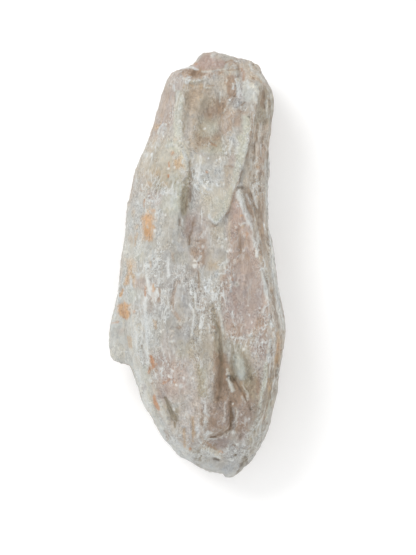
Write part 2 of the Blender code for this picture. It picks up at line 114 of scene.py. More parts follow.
world = bpy.data.worlds.new("studio")
world.use_nodes = True
backdrop = world.node_tree.nodes["Background"]
backdrop.inputs["Color"].default_value = (1, 1, 1, 1)
backdrop.inputs["Strength"].default_value = WORLD_LIGHT
bpy.context.scene.world = world
bpy.context.scene.view_settings.view_transform = "Standard"

table = bmesh.new()
bmesh.ops.create_grid(table, x_segments=1, y_segments=1, size=6)
floor_mesh = bpy.data.meshes.new("floor")
table.to_mesh(floor_mesh)
table.free()
floor = bpy.data.objects.new("floor", floor_mesh)
bpy.context.scene.collection.objects.link(floor)
paper = bpy.data.materials.new("paper")
paper.use_nodes = True
paper_look = {
    "Base Color": (0.95, 0.95, 0.95, 1), "Roughness": 0.9,
    "Emission Color": (1, 1, 1, 1), "Emission Strength": PAPER_GLOW,
}
for socket, value in paper_look.items():
    paper.node_tree.nodes["Principled BSDF"].inputs[socket].default_value = value
floor.data.materials.append(paper)
print("lit from the upper left")

# %% [markdown]
# ## A finer skin for the stone
#
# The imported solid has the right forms, but its triangles are several millimetres wide. We copy it,
# weld it, round it with a subdivision surface and lay a new even skin of small cells over it.
# Subdivision alone would do, but it gives a splinter as many points as a broad face, and a remesh
# gives both the same cell size. That makes more triangles than the piece may have, so a decimation
# thins them out, and a vertex group tells it where: mostly below and on the flanks, so that the
# upper face keeps its points for the fine relief that comes next.

# %% Copy, round, remesh and thin out
CELL = 0.75 * MM
MOST_TRIANGLES = 192_000
DOWNWARD, SIDEWAYS = -0.3, 0.35  # below these heights of its normal, a point looks down or sideways
MAY_GO = {"down": 1.0, "sideways": 0.5, "up": 0.02}  # how freely points are taken away


def evaluated(thing):
    """The mesh that an object's modifiers make."""
    bpy.context.view_layer.update()
    graph = bpy.context.evaluated_depsgraph_get()
    return bpy.data.meshes.new_from_object(thing.evaluated_get(graph))


def read(mesh, what):
    """Every point's place or normal, as rows of three."""
    flat = np.empty(len(mesh.vertices) * 3, np.float32)
    mesh.vertices.foreach_get(what, flat)
    return flat.reshape(-1, 3).astype(float)


def even_skin(node):
    """An even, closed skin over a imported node, in cells of CELL."""
    shaper = bmesh.new()
    shaper.from_mesh(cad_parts[node].data)
    bmesh.ops.remove_doubles(shaper, verts=shaper.verts, dist=1e-6)
    mesh = bpy.data.meshes.new("skin")
    shaper.to_mesh(mesh)
    shaper.free()
    rough = bpy.data.objects.new("rough", mesh)
    bpy.context.scene.collection.objects.link(rough)
    rounded = rough.modifiers.new("rounded", "SUBSURF")
    rounded.levels = rounded.render_levels = 2
    cells = rough.modifiers.new("cells", "REMESH")
    cells.mode, cells.voxel_size = "VOXEL", CELL
    even = rough.modifiers.new("even", "SMOOTH")
    even.factor, even.iterations = 0.5, 2
    made = evaluated(rough)
    bpy.data.objects.remove(rough)
    return made


def thinned(mesh):
    """The mesh with fewer triangles, taken mostly from what looks down or sideways."""
    mesh.calc_loop_triangles()
    thing = bpy.data.objects.new("thing", mesh)
    bpy.context.scene.collection.objects.link(thing)
    group = thing.vertex_groups.new(name="may go")
    up = read(mesh, "normal")[:, 2]
    looks = {
        "down": up < DOWNWARD, "sideways": (up >= DOWNWARD) & (up < SIDEWAYS), "up": up >= SIDEWAYS,
    }
    for way, chosen in looks.items():
        group.add(np.flatnonzero(chosen).tolist(), MAY_GO[way], "REPLACE")
    fewer = thing.modifiers.new("fewer", "DECIMATE")
    fewer.ratio = min(1, MOST_TRIANGLES / len(mesh.loop_triangles))
    fewer.vertex_group, fewer.vertex_group_factor = group.name, 1.0
    made = evaluated(thing)
    bpy.data.objects.remove(thing)
    return made


even_mesh = even_skin("soapstone_block")
print("even skin:", len(even_mesh.vertices), "points")
skin_mesh = thinned(even_mesh)
print("thinned skin:", len(skin_mesh.vertices), "points")

# %% [markdown]
# ## Measuring tools
#
# The relief and the colours are placed in millimetres on the stone, so we need a few
# measures for every point of the skin at once: how far it lies from a drawn line, from the rim of a
# drawn patch or from the middle of a spot. Sculpting with a brush would be quicker, but it leaves
# nothing to read or to change. NumPy measures a hundred thousand points in one go.


# %% Points, distances and soft steps
def step(low, high, value):
    """0 below low, 1 above high, and a smooth rise between. low may be the larger one."""
    t = np.clip((value - low) / (high - low), 0, 1)
    return t * t * (3 - 2 * t)


def line_distance(path, x, y):
    """Distance to a drawn line, positive on its left, with the third value of its nearest place."""
    path = np.array(path, float)
    nearest = np.full(len(x), np.inf)
    signed, third = np.zeros(len(x)), np.zeros(len(x))
    for start, end in zip(path[:-1], path[1:]):
        run = end[:2] - start[:2]
        dx, dy = x - start[0], y - start[1]
        t = np.clip((dx * run[0] + dy * run[1]) / (run @ run), 0, 1)
        away = np.hypot(dx - t * run[0], dy - t * run[1])
        closer = away < nearest
        nearest = np.where(closer, away, nearest)
        signed = np.where(closer, np.sign(run[0] * dy - run[1] * dx) * away, signed)
        third = np.where(closer, start[2] + t * (end[2] - start[2]), third)
    return signed, third


def patch_distance(outline, x, y):
    """Distance to the rim of a drawn patch, negative inside."""
    corners = [(*corner, 0) for corner in outline]
    rim = np.abs(line_distance(corners + corners[:1], x, y)[0])
    inside = np.zeros(len(x), bool)
    for (x0, y0), (x1, y1) in zip(outline, outline[1:] + outline[:1]):
        if y0 != y1:
            crosses = (y0 > y) != (y1 > y)
            inside ^= crosses & (x < x0 + (y - y0) * (x1 - x0) / (y1 - y0))
    return np.where(inside, -rim, rim)


def spot_distance(centre, half_widths, turn, x, y):
    """Distance from the middle of an oval spot, 1 at its rim."""
    turn = math.radians(turn)
    dx, dy = x - centre[0], y - centre[1]
    u = (dx * math.cos(turn) + dy * math.sin(turn)) / half_widths[0]
    v = (dy * math.cos(turn) - dx * math.sin(turn)) / half_widths[1]
    return np.hypot(u, v)


def raised(mask, places, rim, x, y, where=1):
    """A mask raised in oval places, each (centre, half-widths, turn, strength), fading over the rim."""
    for centre, half_widths, turn, strength in places:
        away = spot_distance(centre, half_widths, turn, x, y)
        mask = np.maximum(mask, strength * step(*rim, away) * where)
    return mask


points = read(skin_mesh, "co") / MM
facing = read(skin_mesh, "normal")
upper = step(0.0, 0.45, facing[:, 2])  # 1 on what looks up, 0 on the flanks and below
print(f"{upper.mean():.0%} of the points lie on the upper face")

# %% [markdown]
# The grain runs along Y, and all that is left to chance follows it. So the noise is stretched: a
# rib is 3 mm wide and 34 mm long. The plain kind makes smooth ribs. The fractal kind adds finer and
# finer layers to itself and makes a broken surface. A seed only moves the noise to another place,
# so that the stone comes out the same each time.


# %% Noise that follows the grain
def grain_noise(points, across, along, seed=0.0, kind="plain"):
    """Noise between about -1 and 1, its features across mm wide and along mm long."""
    scaled = points / (across, along, across) + seed
    if kind == "plain":
        return np.array([noise.noise(p) for p in scaled])
    fading, finer, layers = 0.9, 2.0, 4
    return np.array([noise.fractal(p, fading, finer, layers) for p in scaled])


ribs = grain_noise(points, 3.2, 34, 1.7)
fine_ribs = grain_noise(points, 1.7, 15, 5.1)
rough = grain_noise(points, 4.5, 9, 8.3, "fractal")
print("ribs from", ribs.min().round(2), "to", ribs.max().round(2))

# %% [markdown]
# ## Marks of the stone
#
# The marks are drawn region by region, and each one is drawn once. A zone is an outline with
# a colour, how strong it is and how soft its rim is in mm. A line is a path of (x, y, half-width) with
# a colour, how strong it is and how far it stands up, or with a minus lies in. A spot is a place,
# half-widths, a turn in degrees, a colour, strength, softness and height. Line and spot then serve
# twice: for the relief and for the paint, so that a crack is dark just where it is deep.

# %% Empty lists for the marks
zones, lines, spots = [], [], []


def flecks(places, colour="chalk", height=0.12):
    """Small, nearly round marks at (x, y, half-width), all equally strong and soft."""
    spots.extend(((x, y), (0.75 * r, r), 20, colour, 0.8, 0.6, height) for x, y, r in places)


def told(region):
    """Print how many marks there are, once a region is done."""
    print(f"{region}: {len(zones)} zones, {len(lines)} lines and {len(spots)} spots so far")


told("at the start")


# %% [markdown]
# The broad colours come first: grey and cream on the left, pink where iron is in the talc, olive where
# it is mixed with chlorite, brown in the hollows that hold dirt, and pale powder at the rounded end.
# They overlap and have soft rims, because the minerals grade into each other. As with a brush, the
# broad wash comes before any detail.

# %% Broad zones
zones += [
    ([(-30, 70), (-18, 116), (-8, 119), (-6, 100), (-8, 84), (-20, 76)], "pink", 0.6, 5),
    ([(-44, 0), (-38, 50), (-28, 78), (-8, 80), (-6, 50), (-12, 36), (-24, 34), (-30, 0)],
     "warm grey", 0.5, 6),
    ([(-32, 72), (-10, 80), (-4, 62), (-10, 52), (-34, 54)], "cream", 0.6, 5),
    ([(-46, -14), (-42, 34), (-20, 36), (-12, 20), (-14, -10), (-30, -20)], "pale", 0.5, 7),
    ([(-28, 12), (-4, 14), (2, -4), (0, -46), (-16, -48), (-24, -30)], "bluish grey", 0.6, 6),
    ([(-54, -20), (-40, -16), (-34, -40), (-34, -62), (-54, -60)], "pale", 0.75, 3),
    ([(-40, -30), (-27, -30), (-26, -60), (-36, -92), (-42, -60)], "pale", 0.6, 3),
    ([(-30, -50), (-8, -52), (6, -62), (7, -96), (0, -104), (-14, -96), (-26, -78)],
     "pale pink", 0.6, 6),
    ([(-34, -60), (-27, -60), (-24, -84), (-18, -100), (-24, -102), (-32, -80)], "pale green", 0.6, 4),
    ([(-6, 32), (3, 33), (6, 28), (8, 20), (6, 6), (0, -4), (-6, 4), (-9, 16)], "pink", 0.5, 4),
    ([(8, 24), (17, 24), (19, 18), (19, 4), (12, -4), (8, 0)], "cream", 0.5, 3),
    ([(-1, -30), (9, -22), (13, -40), (13, -54), (10, -64), (2, -60), (-2, -46)], "olive", 0.35, 5),
    ([(23, 44), (28, 35), (34, 22), (38, 6), (41, -12), (43, -26), (43, -40), (42, -56), (34, -52),
      (28, -48), (18, -43), (16, -30), (15, -8), (19, 2), (19, 20), (19, 32)], "pink", 0.9, 2.0),
    ([(17, -43), (30, -43), (36, -37), (36, -46), (30, -50), (18, -50)], "olive", 0.45, 2.5),
    ([(34, 90), (47, 104), (48, 2), (52, -20), (54, -38), (51, -62), (48, -86), (41, -92), (43, -60),
      (46, -34), (41, -8), (38, 14), (28, 44)], "tan cream", 0.55, 1.5),
    ([(8, -82), (20, -80), (21, -95), (14, -100), (7, -99)], "pink brown", 0.8, 2.5),
    ([(28, -52), (42, -56), (40, -74), (34, -70)], "mauve", 0.6, 3),
    ([(8, -103), (20, -100), (22, -108), (12, -110), (6, -107)], "mauve", 0.8, 2),
    ([(20, -66), (30, -70), (37, -62), (40, -72), (38, -86), (32, -98), (22, -99), (19, -84)],
     "brown", 0.75, 3),
    ([(-26, -98), (-8, -106), (4, -108), (14, -113), (26, -108), (36, -96), (46, -88), (42, -110),
      (30, -126), (14, -128), (-8, -122)], "grey", 0.8, 4),
    ([(18, -104), (32, -102), (36, -112), (26, -124), (16, -118)], "bluish grey", 0.7, 5),
]
told("broad zones")

# %% [markdown]
# The broken end is a knob of pink-brown stone over a shallow pocket. Fresh breaks there are warm and
# a little darker than the powdery shoulder on the left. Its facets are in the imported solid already,
# so what is drawn here is their tone and the fine steps between them.

# %% The broken end
zones += [
    ([(-18, 106), (-16, 112), (-8, 118.5), (-4, 117), (-5, 111), (-9, 104)], "pale pink", 0.6, 1.5),
    ([(-1.5, 119.5), (1.5, 122), (5, 125.5), (8, 127.4), (9, 124), (13, 122.5), (18, 119.5),
      (16.5, 117), (12, 115.3), (8, 114.8), (5, 116), (2, 117.2)], "pink brown", 0.9, 2),
    ([(-8, 118), (4, 119), (10, 116), (8, 112), (0, 110), (-10, 112)], "pink brown", 0.8, 2),
    ([(-2, 118), (4, 124), (12, 127), (20, 124), (24, 119.6), (14, 117.6), (4, 116.6)],
     "deep pink", 0.95, 1.6),
    ([(-3.6, 117), (3, 116.8), (5.6, 115), (4.6, 112.2), (0, 111.4), (-3.8, 113.4)], "brown", 0.7, 1.2),
    ([(9, 127.4), (14, 127), (24, 124), (26, 121), (19, 121.5), (13, 122.5)], "warm grey", 0.8, 1),
    ([(26.5, 121.5), (33, 123), (37.5, 120), (41, 109), (29, 109.5), (29.5, 114), (27, 118)],
     "tan cream", 0.75, 1.5),
    ([(17, 116.5), (26.5, 116.5), (26.5, 114), (22, 112), (16, 112)], "cream", 0.65, 1.0),
    ([(19, 120.5), (22, 120.8), (26.5, 119.5), (26, 117.5), (20, 117)], "tan cream", 0.7, 1.2),
    ([(3.4, 112), (8, 115), (13, 116.6), (17, 116.2), (17.5, 114), (14, 112.6), (9, 112)],
     "pink brown", 0.6, 0.8),
    ([(-9, 116.8), (-5, 116.2), (-3.5, 115.5), (-1, 116.5), (4.5, 115.5), (5, 114), (3, 111), (-1, 111),
      (-3, 112.5), (-4.5, 114.5)], "brown", 0.8, 1.6),
]
lines += [
    ([(17.2, 120.4, 0.5), (20.8, 122, 0.5), (24.4, 120.2, 0.5)], "brown", 0.6, -0.4),
    ([(19, 116, 0.5), (23, 116, 0.5), (26.4, 116.6, 0.4)], "brown", 0.6, -0.3),
    ([(-8.4, 117.8, 0.6), (-2.4, 118, 0.6), (2, 116.8, 0.5)], "white", 0.75, 0.3),
    ([(-7.2, 111.2, 0.6), (-2, 109.2, 0.8), (1.2, 109.2, 0.8), (4, 110.4, 0.6)], "cream", 0.85, 0.5),
    ([(4, 115.2, 0.5), (10, 115.2, 0.5), (16.4, 116.4, 0.5)], "pale", 0.6, 0.3),
    ([(19, 119.8, 0.8), (17.4, 116.8, 0.7)], "pale", 0.8, 0.3),
    ([(28, 116.8, 0.8), (28.4, 112.8, 1.1), (28.8, 110, 0.8)], "rust", 0.5, -0.7),
    ([(25.6, 119, 0.6), (26, 114, 0.7), (25, 109, 0.6)], "brown", 0.4, -0.8),
    ([(32.4, 120, 0.6), (33.6, 116.8, 0.8)], "white", 0.7, 0.3),
    ([(37, 114, 1.0), (40.6, 109.6, 1.0)], "pale", 0.7, 0.0),
    ([(-15, 108.4, 0.5), (-13, 107.4, 0.6), (-12.6, 104, 0.5)], "white", 0.6, 0.4),
    ([(-4, 113.6, 0.8), (0, 112.6, 1.0), (3.4, 113.2, 0.8)], "brown", 0.3, -0.3),
]
spots += [
    ((0.6, 120), (1.5, 0.9), 0, "rust", 0.5, 0.5, 0),
    ((10.2, 125), (1.2, 1.6), 0, "white", 0.7, 0.5, 0.3),
    ((0, 114.5), (2.4, 1.2), 0, "deep brown", 0.25, 0.8, -0.2),
    ((-6, 116), (2, 1), -15, "deep brown", 0.2, 0.8, -0.2),
    ((34.6, 111.3), (1.0, 0.7), 0, "brown", 0.8, 0.4, -0.6),
    ((-3, 107.3), (1.8, 0.8), -20, "tan", 0.6, 0.5, 0),
    ((3.5, 106.5), (0.9, 1.6), 0, "tan", 0.55, 0.5, 0),
]
told("broken end")

# %% [markdown]
# The dish is a scoop behind the plate, ochre on its left and brown under the pale lip on its right.
# The hollow itself is in the solid as well. The brown under the lip is partly dirt and partly painted
# shade, which makes the hollow look deeper.

# %% The dish
zones += [
    ([(-8, 108), (5, 109), (10, 108), (12, 104), (6, 103), (-5, 104)], "tan cream", 0.6, 2),
    ([(-12, 104), (-9, 104), (-7, 98), (-8, 84), (-8, 76), (-12, 76), (-12.5, 90)],
     "pale green", 0.9, 1.5),
    ([(-8, 106), (-4.5, 106), (-4, 92), (-4.5, 82), (-8, 78), (-7.5, 92)], "olive", 0.55, 1.2),
    ([(-6, 106), (9, 106), (9, 98), (5, 90), (-5, 91)], "ochre", 0.6, 3),
    ([(-4.5, 92), (4, 92), (4, 80), (1, 67), (-4, 67), (-4.5, 80)], "tan cream", 0.6, 1.8),
    ([(-3, 106), (6, 107), (9, 102), (4, 95), (-3, 92)], "pink brown", 0.3, 4),
    ([(5, 90), (11, 99), (19.8, 100), (18.8, 94), (15.4, 88), (10, 87), (6, 88)], "pink brown", 0.6, 3),
    ([(12, 90), (13.4, 97), (18.8, 98), (17, 92), (15, 88.4)], "brown", 0.45, 2),
    ([(6, 111), (18, 111), (18.4, 100), (13, 98.5), (9, 102)], "warm grey", 0.6, 1.5),
    # the brown right wall of the dish: partly dirt, partly painted shade under the lip
    ([(17, 109), (19, 104), (19, 99.6), (24.3, 100), (24.4, 105), (23.6, 108), (24.4, 112), (20, 112.4)],
     "brown", 0.95, 1.0),
    ([(16, 114), (24, 114), (25, 108), (17, 108)], "pink brown", 0.5, 1.6),
    ([(24.6, 111), (28, 111), (27.8, 100), (25, 98.5)], "mauve", 0.5, 0.8),
    ([(2, 88), (13, 88), (15, 78), (16, 68), (3, 68), (1, 78)], "olive", 0.65, 2.5),
    ([(1, 79), (4, 76.5), (10, 76), (15, 80), (17.5, 78), (15, 73), (8, 71), (1, 72)],
     "brown", 0.55, 1.8),
    ([(15, 89), (17, 86), (18, 79), (14.6, 79), (13.6, 85)], "brown", 0.5, 1.4),
    ([(8, 66), (22, 68), (23, 78), (8, 75)], "olive", 0.4, 2),
    ([(3, 69), (18, 70), (19, 66), (6, 65)], "pale green", 0.4, 1.5),
]
lines += [
    ([(22.4, 99.6, 0.6), (20.6, 98, 0.6)], "white", 0.7, 0.5),
    ([(19, 95, 0.5), (17.4, 92, 0.5), (16.2, 90.4, 0.5)], "pale", 0.7, 0.4),
    ([(25.6, 111.4, 0.6), (24.9, 106, 0.6), (25.8, 101.8, 0.6)], "pale", 0.85, 0.4),
    ([(22.4, 108, 0.5), (22.2, 104.8, 0.6)], "white", 0.75, 0.3),
    ([(14.6, 103, 0.6), (14.4, 97.2, 0.6)], "pale", 0.7, 0.2),
    ([(4.8, 106.4, 0.6), (9, 105.2, 0.5)], "cream", 0.8, 0.3),
    ([(7.4, 106.9, 0.4), (11, 106.5, 0.4)], "brown", 0.55, -0.3),
    ([(8.4, 73.4, 0.5), (12, 71, 0.5)], "rust", 0.5, -0.3),
    ([(-10, 103, 0.9), (-10.2, 95, 1.1), (-10, 85, 1.0)], "pale", 0.7, 0.5),
    ([(16, 80, 0.6), (18.4, 77.6, 0.6)], "brown", 0.4, -0.3),
]
spots += [
    ((8.8, 89.8), (1.0, 0.9), 0, "deep brown", 0.4, 0.6, -0.2),
    ((16, 93), (2.6, 3), -20, "brown", 0.5, 0.8, 0),
    ((8.6, 97.5), (3.2, 3), 0, "tan cream", 0.6, 0.8, 0),
    # a cream spot of painted light, which lightens the shade that the pit's own shape throws here
    ((5, 97), (4.4, 4.4), 0, "cream", 0.5, 0.8, 0),
    ((22, 99.6), (2.2, 2.8), 20, "brown", 0.6, 0.7, 0),
    ((23.2, 100.6), (1.0, 0.9), 0, "deep brown", 0.8, 0.4, -0.5),
    ((23.6, 106.8), (0.6, 0.6), 0, "dark", 0.7, 0.4, -0.4),
    ((18.8, 109.6), (0.8, 1.1), 0, "white", 0.8, 0.4, 0.3),
    ((-1, 98), (4, 5), 10, "tan", 0.2, 0.9, 0),
    ((12.4, 76), (2.2, 2.2), 0, "brown", 0.5, 0.6, -0.3),
    ((9.4, 81.4), (3.4, 3), 0, "pale green", 0.3, 0.7, 0.3),
]
flecks([(8.7, 73.2, 0.6), (1, 72.5, 0.5), (0.5, 69.5, 0.6)], "deep brown", -0.4)
flecks([(5.6, 81.2, 0.9), (-15.5, 84.8, 0.6), (7.9, 63.6, 0.6), (12.5, 62, 0.7), (14.8, 62.8, 0.7)])
told("dish")

# %% [markdown]
# The plate is a thin leaf of paler stone that lies on the block. Its right border is bleached, a dark
# hairline follows it, partly dirt and partly painted shadow of the edge, and the other side has a
# rough powdery patch where it was knocked.
# The edges of the plate are among the ledges further down, and only what lies on it is drawn here.

# %% The plate
zones += [
    ([(-1, 66), (20, 65), (20, 76), (18, 86), (22, 99), (36, 97.5), (34.6, 89), (32, 76), (29, 62),
      (25, 49), (21, 37), (17, 31), (11.5, 24.5), (6, 30), (-1, 44), (-2.5, 56)], "warm grey", 0.85, 1),
    ([(0, 62), (24, 62), (22, 44), (17, 32), (11, 26), (5, 34), (-1, 50)], "pale", 0.45, 3),
    ([(8, 72), (24, 72), (24, 62), (8, 62)], "olive", 0.3, 3),
    ([(28.5, 109), (39.2, 108.6), (37, 99), (35.5, 96.5), (30, 97), (28, 101)], "pale", 0.95, 0.8),
    ([(20, 98.6), (28.5, 98), (27, 94), (23, 92.4), (19.5, 94.6)], "bluish grey", 0.75, 1.2),
    ([(27, 94.2), (30.5, 97.2), (36, 97.5), (35.6, 93), (32, 91.5), (27, 92.2)], "warm grey", 0.7, 1.2),
    ([(17.5, 91.5), (27, 92), (28, 88.5), (26, 82), (22, 79), (18.5, 79)], "pink brown", 0.6, 1.5),
    ([(27.5, 89), (33, 89), (33.4, 85), (32, 78), (28.4, 77), (27.4, 82)], "pale green", 0.85, 1),
    ([(18.6, 79), (25, 81), (27.4, 77), (24, 72), (19.5, 68)], "grey", 0.5, 1.5),
    ([(25, 77), (30.5, 77), (31.4, 72), (28.4, 62), (26.6, 57), (23.6, 57), (23.6, 66)],
     "pale green", 0.85, 1),
    ([(19, 64), (23.4, 66), (23.4, 57), (20, 57)], "pink", 0.5, 1.2),
    ([(-0.4, 66.8), (2, 66), (5.6, 64), (6, 60), (3, 59), (1, 61)], "cream", 0.8, 0.8),
    ([(-2.4, 59), (8, 60.5), (15, 58), (15, 50), (9, 47), (-1, 54)], "grey", 0.6, 1.5),
    ([(17, 58), (22.6, 58), (24, 54), (22, 45), (18, 44)], "tan cream", 0.7, 1.5),
    ([(2, 45), (12, 47), (19, 45), (18, 35), (12, 26), (7, 31)], "cream", 0.65, 2),
    ([(23.5, 57), (26.6, 57), (25.6, 52), (23.4, 46), (20.6, 34.5), (17.2, 30.6), (11.4, 24.4),
      (10, 26.4), (15, 33), (20.4, 46), (22, 51)], "pale green", 0.75, 0.8),
]
lines += [
    # dark lines along the plate's right edge: partly dirt, partly painted shadow of the edge
    ([(33.8, 91, 0.4), (33.4, 80, 0.5), (31.5, 70, 0.5), (30.2, 63, 0.5)], "brown", 0.7, -0.4),
    ([(27.6, 56, 0.5), (25.4, 49, 0.5), (23, 43.6, 0.6), (21.6, 38, 0.6), (20, 31.6, 0.5),
      (16.6, 29.2, 0.4)], "brown", 0.65, -0.4),
    ([(25, 56, 0.8), (22.8, 49, 1.1), (20.6, 41, 1.1), (19.6, 35, 0.9), (18.4, 32.2, 0.6)],
     "cream", 0.6, 0.2),
    # the furrow beside the plate's left edge: partly dirt, partly painted shade of the deep cleft
    ([(-3.3, 62, 0.5), (-3.2, 54, 0.7), (-2.7, 46, 0.8), (-3.2, 38, 0.7)], "deep brown", 0.6, -0.5),
    ([(-1.4, 53, 0.9), (1.6, 51.2, 1.1), (4.2, 48.4, 1.2), (6.8, 45.9, 1.0), (9, 44.8, 0.7)],
     "chalk", 0.9, 0.5),
    ([(-1.3, 48, 0.9), (2.4, 45.2, 0.9)], "white", 0.85, 0.3),
    ([(17.6, 59, 0.4), (22, 58.7, 0.4)], "brown", 0.6, -0.3),
    ([(22, 74, 0.6), (20.3, 69, 0.7), (20.6, 65.8, 0.5)], "white", 0.7, 0.4),
    ([(27, 94.8, 0.6), (29.6, 96.6, 0.7)], "deep brown", 0.6, -0.6),
    ([(9.4, 39, 0.5), (12.2, 32, 0.5)], "olive", 0.5, -0.2),
    ([(8, 29.6, 0.7), (9.6, 27, 0.8), (11.6, 25, 0.8), (14, 25.9, 0.6), (17, 29.7, 0.5)],
     "white", 0.75, 0.2),
    ([(2, 42.4, 1.0), (5.2, 36.4, 1.1), (7, 31.6, 0.8)], "warm grey", 0.5, -0.1),
]
spots += [
    ((32, 87.7), (0.7, 0.9), 25, "dark", 0.8, 0.4, -1.2),
    ((27.8, 90.6), (2.8, 1.0), 0, "brown", 0.6, 0.6, -0.1),
    ((24.4, 86), (1.6, 3), 0, "pink brown", 0.5, 0.7, 0),
    ((24.2, 72.6), (2, 1.8), 0, "bluish grey", 0.7, 0.5, -0.3),
    ((33, 106), (2.6, 1.2), 0, "white", 0.7, 0.6, 0.2),
    ((34, 102.4), (2.6, 1.0), 0, "white", 0.6, 0.6, 0.2),
    ((7, 55.2), (0.8, 0.9), 0, "rust", 0.85, 0.35, -0.4),
    ((10.6, 23.2), (1.6, 0.9), 0, "brown", 0.5, 0.5, -0.2),
    ((14, 37), (2.4, 3.6), 0, "pale green", 0.4, 0.7, 0),
]
flecks([(18, 66.2, 0.8), (12.7, 47.6, 0.7), (16.7, 48.3, 0.7), (28, 64.3, 0.6), (28.4, 60, 0.6),
        (8.3, 29, 0.7)])
told("plate")

# %% [markdown]
# The left shoulder runs down from the dish beside the furrow. It is cream and powdery, and water has
# left orange and rust on it, mostly in patches with a ragged rim. Orange and tan are only painted
# and have no height, because a stain soaks into the stone.

# %% The left shoulder and the furrow
zones += [
    ([(-25, 85.5), (-20.5, 85.5), (-22, 82.6), (-24, 80), (-25.4, 80)], "tan", 0.6, 0.9),
    ([(-22, 82), (-19.5, 84), (-16.5, 83), (-17, 80), (-19, 77.5), (-21.5, 78)], "pale", 0.3, 1.6),
    ([(-16, 74), (-8, 74), (-5.6, 67), (-3, 61), (-5, 58.6), (-9, 64), (-13, 69), (-18, 70)],
     "pale green", 0.9, 1),
    ([(-24, 69), (-14, 68.5), (-12, 60), (-22, 59.6)], "cream", 0.8, 1.5),
    ([(-26, 59), (-11, 60), (-8, 45), (-22, 44)], "olive", 0.8, 3),
    ([(-26, 59), (-12, 60), (-11, 53), (-24, 51)], "warm grey", 0.4, 2.5),
    ([(-12.6, 63), (-8.6, 63.4), (-7.2, 60), (-7, 58), (-11.4, 57), (-12.8, 59)], "tan", 0.8, 1.2),
    ([(-35, 57), (-26, 57), (-24, 54), (-28, 52), (-35, 53)], "ochre", 0.5, 1.2),
    ([(-28, 49.6), (-12, 50), (-8, 48), (-14, 45), (-26, 45.6)], "olive", 0.4, 1.5),
    ([(-28, 44), (-20, 44.6), (-20.4, 38), (-23, 35), (-28, 38)], "pink", 0.6, 1.2),
    ([(-43, 36), (-31, 46), (-31, 24), (-34, 14), (-44, 14)], "grey", 0.6, 2),
    ([(-20, 41), (-11, 42), (-9.4, 31), (-14, 29), (-20, 32)], "pale green", 0.5, 2),
    ([(-9.6, 76), (-4.6, 73), (-1.6, 62), (-3.2, 54), (-7, 58), (-10, 66)], "cream", 0.9, 1.5),
    ([(-13.4, 48), (-8, 49), (-8.6, 33), (-13, 32)], "pale green", 0.75, 1.4),
    ([(-8.4, 49), (-5, 51), (-4, 44), (-5, 34), (-7, 29.6), (-8.8, 32)], "olive", 0.7, 1.0),
    # dark olive down the furrow: partly dirt, partly painted shade of the deep cleft
    ([(-4.8, 52), (-2.8, 52), (-2.4, 44), (-3, 34), (-6.2, 29.4), (-6, 40)], "dark olive", 0.2, 1.0),
    ([(-20, 34), (-8, 34), (-8, 10), (-20, 10)], "olive", 0.25, 3),
    ([(-5.5, 29), (1, 28.4), (1, 24), (-1.5, 20), (-4, 14), (-5.6, 18)], "mauve", 0.9, 1.4),
    ([(-3.4, 28), (0.4, 27.6), (0, 20), (-2.6, 17)], "deep brown", 0.3, 1.2),
]
lines += [
    ([(-22.4, 79, 0.6), (-21.4, 82.4, 0.7), (-19.4, 84, 0.7), (-17.4, 84, 0.5)], "white", 0.8, 0.4),
    ([(-19.2, 79.6, 0.5), (-19.4, 76.6, 0.5)], "white", 0.7, 0.2),
    ([(-17.6, 71, 0.8), (-12, 71.8, 0.9), (-8.4, 68.4, 0.9), (-4.2, 62.2, 0.8)], "pale", 0.7, 0.4),
    ([(-3.4, 54, 0.8), (-5.4, 48, 1.6), (-6.3, 40, 2.2), (-6.8, 31, 1.6)], "olive", 0.9, 0),
    # the furrow's dark lines: partly dirt, partly painted shade of the deep cleft
    ([(-1, 56, 0.6), (-1.4, 50, 0.8), (-1.8, 45, 0.6)], "dark olive", 0.6, -0.2),
    ([(-3.2, 49.5, 0.6), (-4.4, 43, 0.8), (-5.2, 37, 0.8), (-5.8, 33, 0.6)], "deep brown", 0.35, -0.1),
    ([(-9, 27.4, 0.5), (-9, 23.6, 0.6)], "deep brown", 0.65, -0.5),
    ([(-7.4, 27, 0.5), (-7.4, 23.4, 0.5)], "white", 0.6, 0.2),
    ([(-1.2, 25.4, 0.5), (-2, 21, 0.6), (-3.2, 17, 0.6), (-3.9, 12.4, 0.5)], "deep brown", 0.75, -0.6),
    ([(-20.2, 43, 0.6), (-16, 42.8, 0.7), (-13, 42.2, 0.5)], "white", 0.7, 0.3),
    ([(-11.3, 44, 0.5), (-11.4, 40.2, 0.6)], "white", 0.75, 0.3),
    ([(-27.8, 38.8, 0.8), (-25.4, 38, 0.7)], "white", 0.8, 0.3),
    ([(-30.5, 39.4, 0.5), (-30.6, 35.2, 0.5)], "rust", 0.6, 0),
    ([(-24.8, 43.6, 0.5), (-24.4, 38.6, 0.5)], "white", 0.4, 0.2),
    ([(-22.4, 43.2, 0.5), (-22.2, 38.8, 0.5)], "white", 0.4, 0.2),
    ([(-15.9, 61.4, 0.5), (-15.8, 58.8, 0.6)], "rust", 0.8, 0),
]
